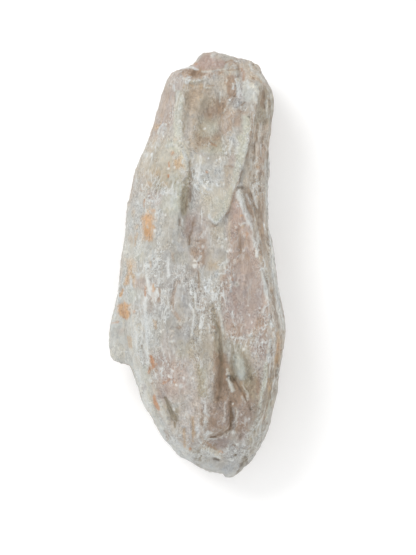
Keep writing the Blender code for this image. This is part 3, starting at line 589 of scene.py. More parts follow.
spots += [
    ((-18.2, 81.8), (1.2, 0.8), 0, "white", 0.7, 0.6, 0.3),
    ((-13.6, 66.6), (1.3, 1.2), 0, "rust", 0.55, 0.6, 0),
    ((-16.1, 52.9), (1.0, 1.0), 0, "rust", 1.0, 0.3, -0.2),
    ((-23, 54.8), (1.6, 2.3), 0, "tan", 0.5, 0.6, 0),
    ((-27.5, 48.2), (1.9, 1.9), 0, "tan", 0.55, 0.6, 0),
    ((-18.2, 48.2), (2.6, 1.3), 0, "tan", 0.5, 0.6, 0),
    ((-32, 45.2), (1.0, 1.1), 0, "brown", 0.6, 0.5, 0),
    ((-30, 66.6), (1.2, 1.9), 0, "white", 0.7, 0.6, 0.3),
    ((-12, 52.4), (3, 2.4), 0, "pale green", 0.6, 0.7, 0),
    ((-26.5, 69), (1.6, 1.4), 0, "tan", 0.4, 0.7, 0),
]
flecks([(-16, 57.6, 0.7), (-12.4, 58.2, 0.8), (-7.2, 61, 0.9), (-31.9, 48.3, 0.7), (-7.3, 48, 0.7),
        (-26, 66.4, 0.8)])
told("left shoulder")

# %% [markdown]
# Below it the left side is pale and scored, with two clusters of iron stain: one like a string of
# beads, one a broad ragged patch at the edge. Each is built of small spots that overlap, because one
# big spot would look like a splash of paint.

# %% The left side
zones += [
    ([(-43.5, 14), (-24, 14), (-22, 4), (-28, 2), (-44, 4)], "pale", 0.6, 2),
    ([(-14.4, 7), (-11, 8.4), (-5, 7), (-4, 1), (-12, 1), (-14.4, 3)], "olive", 0.45, 1.5),
    ([(-42, 4), (-36, 4), (-35.6, -3), (-41, -3)], "tan", 0.5, 1.6),
    ([(-46, -22), (-42, -21.8), (-38.5, -23.5), (-40.4, -25.5), (-38.8, -27.6), (-40.6, -32.2),
      (-43, -32.3), (-45.4, -30), (-46.8, -26.8), (-47, -23.6)], "orange", 0.95, 1.1),
    ([(-40, -14), (-36, -14), (-35.6, -22), (-40.4, -22)], "pale green", 0.7, 1.2),
    ([(-37, -7), (-30, -8), (-30, -14), (-37, -14.5)], "pink", 0.7, 1.5),
    ([(-31, -9), (-22, -9), (-22, -20), (-30, -20)], "mauve", 0.35, 2),
    ([(-28.6, -19), (-25.4, -20), (-25.4, -28), (-28.6, -29)], "mauve", 0.35, 1),
    ([(-27.4, -11.4), (-20.6, -12.4), (-20, -21.6), (-25.4, -21.4)], "pink brown", 0.75, 1.5),
    ([(-35.8, -33), (-30.4, -33), (-30.4, -39), (-35.8, -39)], "cream", 0.5, 1.5),
    ([(-8, -34), (-3, -36), (-3, -43), (-9, -42)], "bluish grey", 0.7, 1.8),
    ([(-10, -45), (0, -45), (0, -55), (-10, -55)], "olive", 0.5, 2.2),
    ([(-41, -13), (-33, -13), (-33, -22), (-40, -22)], "cool grey", 0.6, 2),
    ([(-8, 16), (0, 16), (0, -1), (-7, 0)], "cool grey", 0.4, 2.5),
    ([(-14, -46), (-5, -46), (-5, -70), (-12, -70)], "cool grey", 0.35, 3),
]
lines += [
    ([(-35, 19, 1.0), (-35.6, 14, 0.9), (-36.4, 11.6, 0.6)], "tan", 0.65, 0),
    ([(-38.2, -1, 1.4), (-39.6, -7, 2.0), (-41.4, -11, 1.5)], "tan", 0.75, 0),
    ([(-39.2, -5, 0.8), (-41, -10.6, 1.0)], "orange", 0.6, 0),
    ([(-37.2, -5, 0.7), (-36.6, -12.4, 0.7)], "tan", 0.6, 0),
    ([(-38.2, -7.6, 0.6), (-38.4, -13, 0.6)], "white", 0.6, 0.2),
    ([(-43.6, -14, 0.8), (-45.2, -18, 0.9)], "orange", 0.85, 0),
    ([(-29.6, 1, 0.7), (-28.8, -6, 0.8), (-28, -12, 0.8), (-26.6, -16.8, 0.6)], "white", 0.85, 0.5),
    ([(-30, -19, 0.8), (-30, -26, 1.0), (-28.7, -36, 1.0), (-29, -47, 0.9), (-28, -58, 0.8)],
     "white", 0.85, 0.6),
    ([(-26.6, -29, 0.6), (-25.4, -37.4, 0.6)], "white", 0.65, 0.3),
    ([(-24.2, -32.4, 0.9), (-23.4, -37, 0.8)], "tan", 0.7, 0),
    ([(-31.5, -30, 0.7), (-31.9, -44, 0.7), (-32.8, -54, 0.6)], "white", 0.55, 0.5),
    ([(-36, -22.6, 0.5), (-31.8, -24, 0.5)], "white", 0.6, 0.2),
    ([(-35, -27, 0.5), (-30.8, -24.6, 0.5)], "white", 0.6, 0.2),
    ([(-35, -6, 0.6), (-31, -3.2, 0.6)], "white", 0.55, 0.2),
    ([(-29.4, -12.4, 0.6), (-29.7, -17.8, 0.7)], "rust", 0.7, -0.3),
    ([(-24.8, -11, 0.8), (-24.8, -15, 0.7)], "orange", 0.65, 0),
    ([(-12, -11, 1.1), (-13, -20, 1.4), (-13.4, -26, 1.3), (-9.4, -32, 1.0)], "pink brown", 0.6, -0.2),
    ([(-17.8, -14, 0.6), (-18, -18.6, 0.7)], "white", 0.7, 0.3),
    ([(-19, -20, 0.5), (-21.4, -26, 0.6)], "white", 0.6, 0.3),
    ([(-7.2, -12, 0.5), (-8.4, -20, 0.6)], "white", 0.55, 0.3),
    ([(-1.1, -13, 0.5), (-1.2, -20, 0.6), (-0.8, -25.6, 0.5)], "dark olive", 0.75, -0.5),
    ([(0.1, -16, 0.6), (0.3, -25.4, 0.6)], "white", 0.7, 0.3),
    ([(-3.4, -23, 0.6), (-1.2, -27, 0.8), (-0.8, -31, 0.8), (-1.6, -36, 0.7), (-2.2, -42, 0.6)],
     "white", 0.8, 0.6),
    ([(-39.6, -43, 1.2), (-38.8, -48, 1.1)], "tan", 0.65, 0),
    ([(-45, -51.6, 0.5), (-38, -51.6, 0.5)], "white", 0.6, 0.2),
    ([(-35, -40, 0.8), (-35, -52, 0.8)], "white", 0.5, 0.4),
    ([(-46, -33.6, 0.5), (-50, -34.4, 0.5)], "rust", 0.5, 0),
]
spots += [
    ((-28, 23), (4.6, 9), 0, "tan", 0.3, 0.8, 0),
    ((-28.2, 28), (3.6, 2.8), 0, "orange", 0.9, 0.6, 0),
    ((-31, 27.2), (1.2, 2.4), 0, "orange", 0.45, 0.7, 0),
    ((-28.3, 22.8), (3.1, 3), 0, "orange", 0.85, 0.6, 0),
    ((-28.4, 22.6), (0.9, 0.9), 0, "pale", 0.8, 0.5, 0.2),
    ((-28, 18.8), (2.6, 3.1), 0, "orange", 0.9, 0.6, 0),
    ((-27.8, 15.4), (2.4, 1.1), 0, "orange", 0.5, 0.6, 0),
    ((-24.8, 23.2), (1.2, 1.0), 0, "orange", 0.75, 0.6, 0),
    ((-25.4, 32.6), (1.9, 1.1), -30, "orange", 0.6, 0.5, 0),
    ((-35, 23), (1.0, 1.9), -15, "tan", 0.6, 0.6, 0),
    ((-37, 32), (1.1, 2.8), 0, "tan", 0.4, 0.7, 0),
    ((-39, 16), (1.4, 3), 0, "tan", 0.4, 0.7, 0),
    ((-28.8, 0.2), (1.7, 1.4), 0, "chalk", 0.95, 0.5, 0.4),
    ((-26.6, 0.6), (0.7, 2.0), 0, "tan", 0.6, 0.5, 0),
    ((-24, 3.8), (0.9, 0.5), 0, "deep brown", 0.8, 0.4, -0.4),
    ((-42.4, -31), (0.8, 0.7), 0, "rust", 0.8, 0.4, -0.2),
    ((-43, -28), (1.0, 0.9), 0, "rust", 0.6, 0.5, -0.2),
    ((-36.2, -27.5), (0.9, 0.9), 0, "rust", 0.55, 0.5, 0),
    ((-10, -10), (1.6, 1.2), 0, "brown", 0.5, 0.6, -0.2),
    ((-13.8, -44.6), (1.4, 0.9), 0, "white", 0.8, 0.5, 0.3),
    ((-10, -36.6), (1.4, 1.0), 0, "brown", 0.5, 0.6, -0.2),
    ((-44.5, -39), (2.2, 1.6), 0, "pale pink", 0.6, 0.6, 0),
    ((-31.8, -48), (0.7, 1.1), 0, "deep brown", 0.6, 0.5, -0.4),
    ((-33.4, 6), (2.6, 3.6), 0, "pale green", 0.5, 0.7, 0),
]
flecks([(-24.4, 20.7, 0.9), (-21.5, 21.2, 0.6), (-17.8, 30.1, 0.8), (-32.5, 25.2, 0.7),
        (-23.8, 29.8, 0.7), (-23.6, -19, 0.6), (-25.6, -20.8, 0.6), (-29, -14.6, 0.5),
        (-23.6, -27, 0.8), (-19, -37.6, 0.8), (-20.6, -39, 0.7), (-8.2, -9.6, 0.7), (-34.5, 37.8, 0.9)])
flecks([(1, -29, 0.5), (1.8, -32.4, 0.6), (-17.6, 25.4, 0.5)], "dark olive", -0.4)
told("left side")

# %% [markdown]
# The middle is smooth and soapy where the stone was handled, with a brown knot, and the pink face to
# its right is a clean cleavage that ends in a bright shoulder. On so calm a face one flat colour
# would look like plastic, so faint zones, thin lines and a few flecks keep it alive.

# %% The middle and the pink face
zones += [
    ([(10.6, 10.4), (17.6, 10.4), (18, 4.6), (10.6, 4.4)], "bluish grey", 0.6, 1.8),
    ([(8, 2), (14, 2.4), (14, -2.4), (8, -2.6)], "ochre", 0.6, 1.8),
    ([(0, 15), (6, 15), (5.8, 0), (2, -2), (2, 6), (-2.6, 6), (-2.6, 10), (0, 12)],
     "pink brown", 0.6, 1.5),
    ([(2, -3), (14, -4), (15, -9), (10, -13), (2, -10)], "grey", 0.6, 2),
    ([(14.4, -6.4), (18.6, -6.4), (19, -14.6), (14.6, -15)], "brown", 0.45, 1.6),
    ([(22, 37), (26.6, 36), (28, 28), (24, 14), (20.6, 14), (21, 30)], "deep pink", 0.55, 1.5),
    ([(26.6, 21), (31.6, 21), (32.8, 12), (27.4, 9)], "pink brown", 0.4, 1.5),
    ([(17, -16), (26, -10), (38, -8), (40, -24), (26, -34), (17, -32)], "mauve", 0.4, 3),
    ([(22, -35), (26.6, -35), (27, -42), (22, -42)], "brown", 0.5, 1),
    ([(36, -31.6), (41.6, -31.4), (41.6, -36.8), (36, -37)], "brown", 0.65, 1.2),
    ([(36.8, -43), (42.4, -43), (42, -56), (37, -56)], "mauve", 0.6, 1.4),
    # the white tip of the shoulder: partly talc powder, partly a painted highlight
    ([(24, 44), (25.6, 44.6), (27.6, 42), (28.2, 38), (27, 36.4), (24.6, 39)], "white", 0.9, 0.8),
    ([(29, 9), (37, 9), (37.6, -8), (31, -8)], "mauve", 0.4, 2.5),
]
lines += [
    ([(0.6, 14.8, 0.8), (5.8, 14.2, 0.8)], "brown", 0.6, 0),
    ([(-2.4, 6, 0.5), (-0.6, 3, 0.6), (1, 2.3, 0.6), (3, 5, 0.5)], "chalk", 0.8, 0.4),
    ([(4.8, 9, 0.8), (5, 4.6, 0.8), (4.7, 1, 0.7)], "brown", 0.6, 0),
    ([(18.4, 1.8, 0.6), (17.5, -1, 0.7), (17.6, -4.4, 0.6), (12.4, -5.2, 0.6)], "white", 0.85, 0.4),
    ([(1.9, -3.4, 0.5), (2.1, -13, 0.6)], "brown", 0.6, -0.4),
    ([(5.7, -12.4, 0.7), (5.9, -15.3, 0.7), (8, -15.6, 0.7), (8.5, -13.8, 0.6)], "chalk", 0.9, 0.5),
    ([(4.5, -17.6, 0.5), (4.4, -21, 0.5)], "white", 0.75, 0.3),
    ([(20.2, 29, 0.6), (19.9, 20, 0.7), (19.9, 11, 0.6)], "tan cream", 0.7, 0),
    ([(25.6, 21, 0.6), (26.4, 15, 0.7), (26.6, 7, 0.7)], "brown", 0.65, -0.5),
    ([(22.4, 24.4, 0.4), (22.5, 21, 0.4)], "brown", 0.5, -0.2),
    ([(25.9, 25, 0.4), (27, 23.8, 0.5), (29.2, 25.2, 0.5)], "white", 0.75, 0.3),
    ([(28.8, 29.4, 0.6), (29.4, 27.4, 0.6)], "rust", 0.6, 0),
    ([(23, -8, 1.1), (23.4, -21, 1.4), (24.4, -31, 1.2), (25.4, -35, 1.0)], "deep pink", 0.6, -0.2),
    ([(20.9, -9, 0.6), (21.4, -15.2, 0.6)], "white", 0.6, 0.3),
    ([(24, -16, 0.9), (28, -22, 0.9)], "pale pink", 0.4, 0),
    ([(22.5, -42.8, 0.5), (28.2, -43, 0.5)], "white", 0.75, 0.3),
    # from here down the shoulder's edge, the white and pale lines are partly talc powder, partly a
    # painted highlight
    ([(26.8, 39, 0.7), (27.6, 35, 0.7), (29.6, 29, 0.7), (31.6, 25, 0.7), (33.6, 21.4, 0.6)],
     "white", 0.8, 0.4),
    ([(34.4, 21, 0.6), (34.1, 16, 0.7), (34.8, 11.6, 0.7)], "pale", 0.6, 0.3),
    ([(36.3, 10.4, 0.9), (36, 5, 0.8)], "white", 0.85, 0.3),
    ([(37.8, 6, 0.6), (38.8, 1, 0.6)], "cream", 0.8, 0.2),
    ([(38.2, 12, 0.8), (39.2, 2, 0.9), (40.4, -6, 0.8)], "brown", 0.5, -0.3),
    ([(39.8, -2, 0.9), (40.8, -9.4, 1.1), (41.6, -14, 1.3), (42.6, -20, 1.1)], "white", 0.9, 0.5),
    ([(42.9, -21, 1.2), (43.4, -31, 1.2)], "pale pink", 0.85, 0.3),
    ([(44.6, -33, 0.8), (45.2, -36, 0.8)], "white", 0.85, 0.3),
    ([(44.5, -44, 0.9), (43.9, -51, 0.9), (43.3, -57, 0.9)], "white", 0.75, 0.4),
    ([(42, -58, 1.0), (41.2, -67, 1.0), (39, -76, 1.0), (38.4, -83, 0.8)], "pale green", 0.85, 0.4),
    ([(37.4, -37, 0.7), (37.7, -43, 0.7)], "pale pink", 0.5, 0.2),
]
spots += [
    ((-0.4, 6.4), (2.4, 2.8), 0, "brown", 0.6, 0.6, -0.2),
    ((-0.4, -0.2), (1.7, 1.4), 20, "chalk", 0.9, 0.5, 0.4),
    ((1.8, 1.8), (0.8, 0.8), 0, "deep brown", 0.7, 0.4, -0.5),
    ((-13.2, 5), (0.9, 2), 0, "pink brown", 0.5, 0.6, 0),
    ((3.5, 18.6), (0.9, 1.9), 0, "pink brown", 0.5, 0.5, 0),
    ((30.7, 18.4), (0.9, 1.3), 0, "rust", 0.5, 0.5, -0.2),
    ((30.5, 5.4), (1.4, 2.4), 30, "brown", 0.5, 0.6, -0.2),
    ((28.4, 23), (1.3, 1.0), 0, "ochre", 0.6, 0.5, 0),
    ((27, 29.5), (0.7, 0.7), 0, "orange", 0.7, 0.4, 0),
    ((24.3, -11), (1.5, 1.4), 0, "pale", 0.8, 0.4, 0.2),
    ((24.3, -11), (0.6, 0.6), 0, "deep brown", 0.8, 0.4, -0.3),
    ((22.2, -8.6), (0.6, 0.6), 0, "rust", 0.7, 0.4, -0.3),
    ((38.8, -26), (1.0, 0.8), 0, "deep brown", 0.7, 0.4, -0.4),
    ((39.9, -29), (0.8, 0.7), 0, "deep brown", 0.75, 0.4, -0.4),
    ((31.9, -41), (1.3, 1.0), 0, "white", 0.85, 0.5, 0.3),
    ((40.8, -47.6), (1.3, 4.6), 0, "mauve", 0.6, 0.6, 0),
    ((30.6, -35.6), (1.6, 3.6), 10, "deep pink", 0.4, 0.7, 0),
    ((35, -56), (2.4, 4.6), 0, "pale pink", 0.5, 0.7, 0),
    ((19.4, 3), (1.3, 1.3), 0, "white", 0.7, 0.5, 0.3),
]
flecks([(20.9, 9, 0.9), (19.2, 8.2, 0.9), (23.2, 3.2, 0.7), (28.2, 8.7, 0.7), (16, 11.1, 0.8),
        (4.4, 11.3, 0.8), (18, 15.7, 0.8), (14, 16.2, 0.7), (9.4, -16.3, 0.9), (12.8, -15.1, 0.8),
        (5.3, -8.8, 0.6), (18.3, -9.8, 0.8), (20.6, -7.6, 0.8), (31.8, -29.3, 0.8), (31.1, -24, 0.6),
        (37.9, -24.9, 0.6), (28.9, -49.5, 0.9), (30, -47.4, 0.8), (4.6, -26, 0.8), (24.1, 22.4, 0.6),
        (33.5, -33.2, 0.6)])
flecks([(19.4, 3, 0.5), (26.3, -8.8, 0.5), (36.1, -27.6, 0.5)], "deep brown", -0.3)
told("middle")

# %% [markdown]
# The right side is where the block split from its neighbour: a bundle of steep fibres, brown and dark
# between bright edges, all running along the stone. Their paths are two plain lists, one for the
# dark gaps and one for the bright edges, and each list gets its colour, strength and height at once.

# %% The right side
zones += [
    ([(38.4, 107.6), (45.6, 104.5), (47, 99), (46, 84), (34.6, 84), (36.4, 95)], "olive", 0.6, 0.8),
    ([(38.6, 105), (41.6, 104), (41.8, 94), (38.4, 94)], "brown", 0.55, 1.2),
    ([(37, 72), (41.4, 72), (41.6, 54), (36.8, 54)], "pink brown", 0.75, 1),
    ([(24.6, 47), (33, 47), (34, 41), (27.4, 41.4)], "deep brown", 0.5, 1),
    ([(29, 45), (34.6, 43), (36.4, 30), (34.6, 23), (31.4, 31)], "deep brown", 0.4, 1.2),
    ([(29.4, 43), (31.6, 43), (34.6, 30), (33.4, 25), (31, 34)], "brown", 0.8, 1.0),
    ([(43, -50), (50, -50), (48.6, -84), (41.6, -84)], "brown", 0.35, 1.6),
    ([(38.4, 46), (41.6, 46), (41.4, 24), (41, 6), (38.6, 12), (37.6, 28)], "brown", 0.55, 0.9),
    ([(35.4, 23), (37.6, 22), (37.8, 11), (35.4, 12)], "bluish grey", 0.65, 0.8),
    ([(40.6, -2), (43, -2), (44, -11), (41.4, -9)], "olive", 0.6, 0.8),
    ([(43.6, -4), (46.6, -4), (47, -13), (44.2, -13)], "grey", 0.6, 1),
    # white and pale along the right margin: partly powder, partly painted light that lifts the steep
    # flank out of the lamps' shade
    ([(44, 16), (48, 8), (53, -20), (55, -40), (50.4, -38), (46, -12)], "white", 0.7, 1.4),
    ([(41.6, 62), (46, 62), (45, 20), (42, 20)], "pale", 0.85, 1.4),
    ([(42.6, 30), (46, 24), (50, 4), (51, -6), (46.4, -4), (44, 10)], "white", 0.6, 1.2),
    ([(47, -74), (51, -68), (50, -84), (44, -94)], "grey", 0.8, 2),
    ([(50.6, -38), (54.6, -38), (54, -52), (50.8, -54)], "tan cream", 0.7, 1),
    ([(44.4, -53), (51, -53), (50, -62), (45, -62)], "ochre", 0.6, 1.6),
    ([(43, -64), (51, -62), (50.6, -74), (47, -86), (42.6, -84), (43, -74)], "ochre", 0.6, 1.2),
    ([(45, -60), (51, -60), (50, -76), (46, -88), (42, -88), (44.6, -74)], "cool grey", 0.4, 2),
]
DARK_FIBRES = [
    [(40.4, 103, 1.0), (40.6, 94, 1.1)], [(36.2, 95, 0.5), (35.4, 86, 0.6)],
    [(44, 99, 0.5), (44.8, 84, 0.6)], [(35, 76, 0.5), (34.4, 60, 0.6)],
    [(33.2, 58, 0.6), (31.2, 45.4, 0.6)], [(39.8, 77, 0.5), (39.2, 68, 0.5)],
    [(36.6, 84, 0.5), (36.2, 74, 0.5)], [(41.4, 86, 0.5), (40.8, 75, 0.6)],
    [(43.2, 74, 0.5), (42.6, 50, 0.6)], [(29.6, 41.6, 0.8), (30.4, 35, 0.9), (32.4, 30.6, 0.8)],
    [(33.8, 41.6, 0.6), (35.4, 36, 0.7), (36.6, 31.4, 0.6)],
    [(33.4, 26, 0.6), (35.2, 20.4, 0.7), (36.4, 14.6, 0.6), (38.8, 6.6, 0.6)],
    [(38, 40, 0.6), (37.4, 24, 0.6)], [(35.4, 56, 0.5), (34.6, 48, 0.5)],
    [(38.6, 54, 0.6), (38.2, 44, 0.6)], [(42.6, 34, 0.6), (43, 12, 0.6)],
    [(40.2, -3, 0.6), (43, -12, 0.6)], [(45.9, -15, 0.7), (46.8, -25, 0.8), (49.2, -36, 0.8)],
    [(50.4, -20, 0.5), (52.4, -31, 0.5)], [(45.1, -47, 0.6), (44.9, -58, 0.6)],
    [(48.6, -52, 0.5), (48.6, -60, 0.5)], [(44.6, -60, 0.6), (44, -68, 0.7)],
    [(48.2, -62, 0.5), (47, -78, 0.5)], [(45.2, -70, 0.6), (44.4, -82, 0.6)],
]
BRIGHT_FIBRES = [
    [(42.6, 98, 0.6), (42.6, 88, 0.6)], [(44.8, 102, 0.6), (45.6, 94, 0.6)],
    [(38.6, 84.4, 0.6), (38.3, 79.6, 0.6)], [(37.8, 79.4, 0.6), (37.2, 73.6, 0.6)],
    [(39, 72, 0.6), (38.4, 65, 0.6)], [(33.4, 63.4, 0.6), (32.8, 56.6, 0.6)],
    [(44, 70, 0.5), (43.6, 56, 0.5)], [(30.3, 42, 0.6), (32.2, 36.8, 0.6)],
    [(34, 45.4, 0.7), (35.6, 39.6, 0.7), (37, 34, 0.6)], [(42.8, 44, 0.6), (42.4, 36, 0.6)],
    [(40.4, 25, 0.6), (41.6, 21.4, 0.6)], [(36.6, 19.6, 0.6), (36.8, 13, 0.7)],
    [(44.2, 20, 0.7), (44.6, 12, 0.6)], [(48.4, -18, 0.5), (49.6, -29, 0.6)],
    [(47.6, -38, 0.8), (46.4, -50, 0.7)], [(51.8, -32, 0.7), (52.4, -38, 0.7)],
    [(46.6, -52, 0.5), (46, -60, 0.5)], [(44.8, -54, 0.5), (43.6, -66, 0.6)],
    [(46.6, -64, 0.5), (45, -80, 0.5)],
]
lines += [(path, "deep brown", 0.42, -0.45) for path in DARK_FIBRES]
lines += [(path, "white", 0.5, 0.3) for path in BRIGHT_FIBRES]
lines += [
    ([(25.2, 46.2, 0.7), (28, 46.2, 0.6)], "dark", 0.6, -0.5),
    ([(49, -40, 1.1), (49.4, -49, 1.4), (47.8, -57, 1.1)], "tan", 0.6, -0.1),
    ([(41.6, -38.4, 0.9), (40.8, -44, 0.9)], "pink brown", 0.4, 0),
]
spots += [
    ((36.8, 58.5), (1.1, 1.2), 0, "orange", 0.6, 0.5, 0),
    ((40.3, 58.5), (1.8, 1.4), 0, "pale", 0.7, 0.5, 0),
    ((44.8, 82), (0.8, 1.3), 0, "deep brown", 0.8, 0.5, -0.5),
    ((49, -48.4), (1.2, 2.4), 0, "rust", 0.3, 0.7, 0),
    ((43.4, -71), (1.1, 3.4), 0, "tan", 0.5, 0.6, 0),
    ((46, -65.6), (1.2, 2.4), 0, "brown", 0.5, 0.6, -0.2),
]
flecks([(41, 24, 0.7), (47.2, -41.2, 0.8)])
told("right side")

# %% [markdown]
# Down the middle runs the groove, olive with dirt and darkened along its steep flank with painted
# shade, to a splintered hollow with two small black pits under a white splinter. The smooth grey-green
# lens beside it is a knob of purer talc, with painted shade on its right rim, and below lies the pink
# lobe with its crevice. Dark and black go only into marks that lie in, so that colour and depth tell
# the same story.

# %% The groove, the splinters and the lobe
zones += [
    ([(10, -24), (13.6, -26), (14.6, -38), (16.6, -56), (12.6, -60), (10.4, -44), (10.4, -34)],
     "olive", 0.6, 1.6),
    ([(11.6, -52), (18, -52), (20, -62), (20.4, -80), (11, -83), (10.8, -68)], "brown", 0.9, 2.2),
    ([(9, -56), (20, -54), (34, -66), (36, -84), (30, -101), (20, -104), (8, -100)], "brown", 0.35, 5),
    ([(21, -50), (24, -46), (31, -48), (34, -58), (34, -70), (26, -72), (20, -66)], "olive", 0.7, 1.8),
    ([(21.6, -55), (23, -51.5), (28, -52), (31.4, -58), (31, -68), (26, -70), (22.4, -66)],
     "dark olive", 0.8, 1.4),
    ([(22, -54), (24.8, -51.6), (27.8, -55), (29.6, -61), (29.4, -66.4), (26.4, -68.6), (23.8, -64),
      (22.2, -58)], "pale green", 0.75, 0.8),
    # painted shade on the lens's right rim, over olive stone
    ([(28.6, -52.6), (31.4, -56), (32.8, -68), (29.2, -70), (30, -62)], "dark olive", 0.85, 1.0),
    ([(33, -58), (36, -62), (37, -76), (32, -78), (31, -70)], "olive", 0.5, 1.6),
    ([(27, -71), (32.4, -75), (31.4, -78), (27, -73.4)], "cream", 0.6, 0.6),
    ([(33, -77), (38, -76), (37, -84), (33, -85)], "olive", 0.6, 1.6),
    ([(8.6, -90.6), (12, -90.6), (12, -95.6), (8.6, -95.4)], "brown", 0.4, 1.6),
    ([(12.4, -90), (18, -90), (18, -94.6), (12.6, -94.6)], "mauve", 0.6, 1.4),
    ([(22, -80), (37, -80), (34, -94), (23, -95)], "mauve", 0.6, 2.5),
    ([(25, -80), (34, -79), (33, -88), (28, -90)], "deep brown", 0.35, 2),
    ([(8, -82), (20, -80), (20.6, -94), (14, -99), (7.6, -98)], "mauve", 0.5, 2),
    ([(9, -84), (16, -82), (19, -90), (14, -98), (8.6, -97)], "deep brown", 0.25, 2.5),
    ([(21.8, -83), (24.4, -84), (24, -98), (21.6, -99)], "bluish grey", 0.6, 1.0),
    ([(26, -92), (29.6, -92), (29, -104), (25.6, -104)], "mauve", 0.6, 1.2),
    ([(13, -95.4), (18.4, -95.4), (17, -99), (12, -100)], "brown", 0.7, 1),
    ([(20, -68), (26.4, -73), (29, -80), (22, -84)], "deep brown", 0.4, 1.6),
]
lines += [
    # dark olive down the groove's steep flank: partly dirt, partly painted shade
    ([(10.2, -22, 0.5), (11.2, -27, 0.7), (11.6, -32.6, 0.8), (14, -37, 1.0), (14.6, -44, 1.1),
      (15.5, -56, 1.3)], "dark olive", 0.65, -0.1),
    ([(13.7, -22, 0.8), (14.6, -29, 0.8), (17, -41, 0.8)], "pale", 0.8, 0.3),
    ([(11.4, -51, 0.9), (11.8, -57, 1.1), (11.6, -63, 0.8)], "brown", 0.6, 0),
    ([(14.6, -50, 1.2), (15, -57, 1.6), (15, -66, 1.4)], "deep brown", 0.35, 0),
    ([(15.8, -55, 1.0), (15.9, -65, 1.0), (15, -74, 0.8)], "dark olive", 0.35, -0.1),
    ([(18.8, -61.4, 0.5), (19.2, -63.8, 0.6), (20, -67.6, 0.8), (21.2, -71.4, 1.2), (22.2, -73.8, 1.2)],
     "pale", 0.9, 0.8),
    ([(21.6, -61, 1.2), (22, -66, 1.3)], "dark olive", 0.6, -0.4),
    ([(24.4, -69.4, 0.6), (27.6, -74.6, 0.9), (29.8, -78.4, 0.8)], "brown", 0.8, 0.3),
    ([(27.4, -71, 0.5), (30.8, -75.4, 0.6)], "cream", 0.75, 0.5),
    ([(26.8, -71.4, 0.4), (30.2, -76.6, 0.4)], "deep brown", 0.6, -0.3),
    ([(23.4, -68, 0.5), (25.4, -71.2, 0.6), (27, -74.4, 0.5)], "dark", 0.7, -0.7),
    ([(28.8, -76.6, 0.5), (30.2, -79.4, 0.5)], "deep brown", 0.75, -0.6),
    ([(28.8, -71.2, 0.5), (31.6, -74.4, 0.5)], "dark olive", 0.7, -0.5),
    ([(30.4, -76, 0.6), (31.1, -79.4, 0.6)], "white", 0.5, 0.3),
    ([(27.4, -77.6, 0.6), (29.6, -81, 0.6)], "white", 0.4, 0.2),
    ([(20.6, -80.8, 0.5), (21, -86, 0.8), (21.5, -89, 0.8), (20.9, -95, 0.7), (20.2, -97, 0.6)],
     "deep brown", 0.85, -0.9),
    ([(20.2, -97, 0.6), (15.6, -99.8, 0.7), (12, -101.2, 0.7), (9, -102.2, 0.6)],
     "deep brown", 0.8, -0.9),
    ([(12.4, -79, 0.5), (13.4, -82, 0.6), (11.2, -87, 0.6)], "deep brown", 0.5, -0.2),
    ([(17.4, -81, 0.6), (17.8, -87, 0.6), (17.2, -92, 0.5)], "pale pink", 0.7, 0.3),
    ([(27.3, -94, 0.9), (26.8, -103, 0.9)], "deep brown", 0.4, -0.4),
    ([(31.6, -82.6, 0.5), (32.6, -84.6, 0.5)], "deep brown", 0.6, -0.4),
    ([(24.4, -84, 0.6), (24.2, -93, 0.6)], "pale", 0.5, 0.3),
    ([(36.8, -69, 0.9), (36.8, -75, 1.0)], "brown", 0.75, -0.3),
]
spots += [
    ((23.2, -67.7), (0.7, 0.7), 20, "dark", 0.85, 0.5, -0.8),
    ((19.5, -65.6), (0.9, 0.8), 0, "black", 0.8, 0.5, -0.8),
    ((10.8, -36.6), (1.2, 1.1), 0, "brown", 0.75, 0.5, -0.2),
    ((15.4, -71), (1.6, 2.2), 0, "deep brown", 0.6, 0.6, -0.4),
    ((14, -78.4), (1.6, 1.4), 0, "deep brown", 0.6, 0.6, -0.4),
    ((12, -75.8), (1.0, 1.2), 0, "deep brown", 0.5, 0.6, -0.3),
    ((33.3, -67), (0.9, 1.6), 0, "dark", 0.6, 0.5, -0.8),
    ((32.8, -85), (0.7, 0.8), 0, "dark", 0.9, 0.4, -1.2),
    ((10.6, -86.6), (0.8, 1.2), 0, "deep brown", 0.7, 0.5, -0.4),
    ((9.8, -92.6), (2.2, 2.8), 0, "brown", 0.6, 0.7, 0),
    ((25.6, -68.6), (2.4, 2), 0, "brown", 0.6, 0.7, 0),
    ((19.2, -62), (0.8, 0.8), 0, "cream", 0.85, 0.4, 0.3),
    ((22.2, -82.1), (0.6, 0.6), 0, "white", 0.8, 0.4, 0.2),
    ((26.2, -60), (3.6, 7.6), 12, "cool grey", 0.5, 0.5, 1.2),
    ((22.4, -99), (1.0, 1.4), 0, "white", 0.7, 0.5, 0.3),
]
flecks([(18.2, -64.4, 0.6), (18.8, -67.2, 0.6), (27, -88.4, 0.5), (24, -91, 0.6), (31.6, -91, 0.6),
        (28.4, -93, 0.5)])
flecks([(22.8, -51.6, 0.7), (23.4, -54.2, 0.6), (22.6, -56.6, 0.7), (25.2, -50.4, 0.6)],
        "dark olive", -0.3)
flecks([(36, -93.4, 0.6), (42.6, -94, 0.6), (34.6, -90, 0.5)], "deep brown", -0.3)
told("lobe")

# %% [markdown]
# The lower left has a gouge with a cream edge, long pale strips, and a few more rust marks. It ends in
# the rounded end, which is grey with powder and pitted. Pits and gashes are marks with a minus
# height, and their dark paint comes from the same rows.

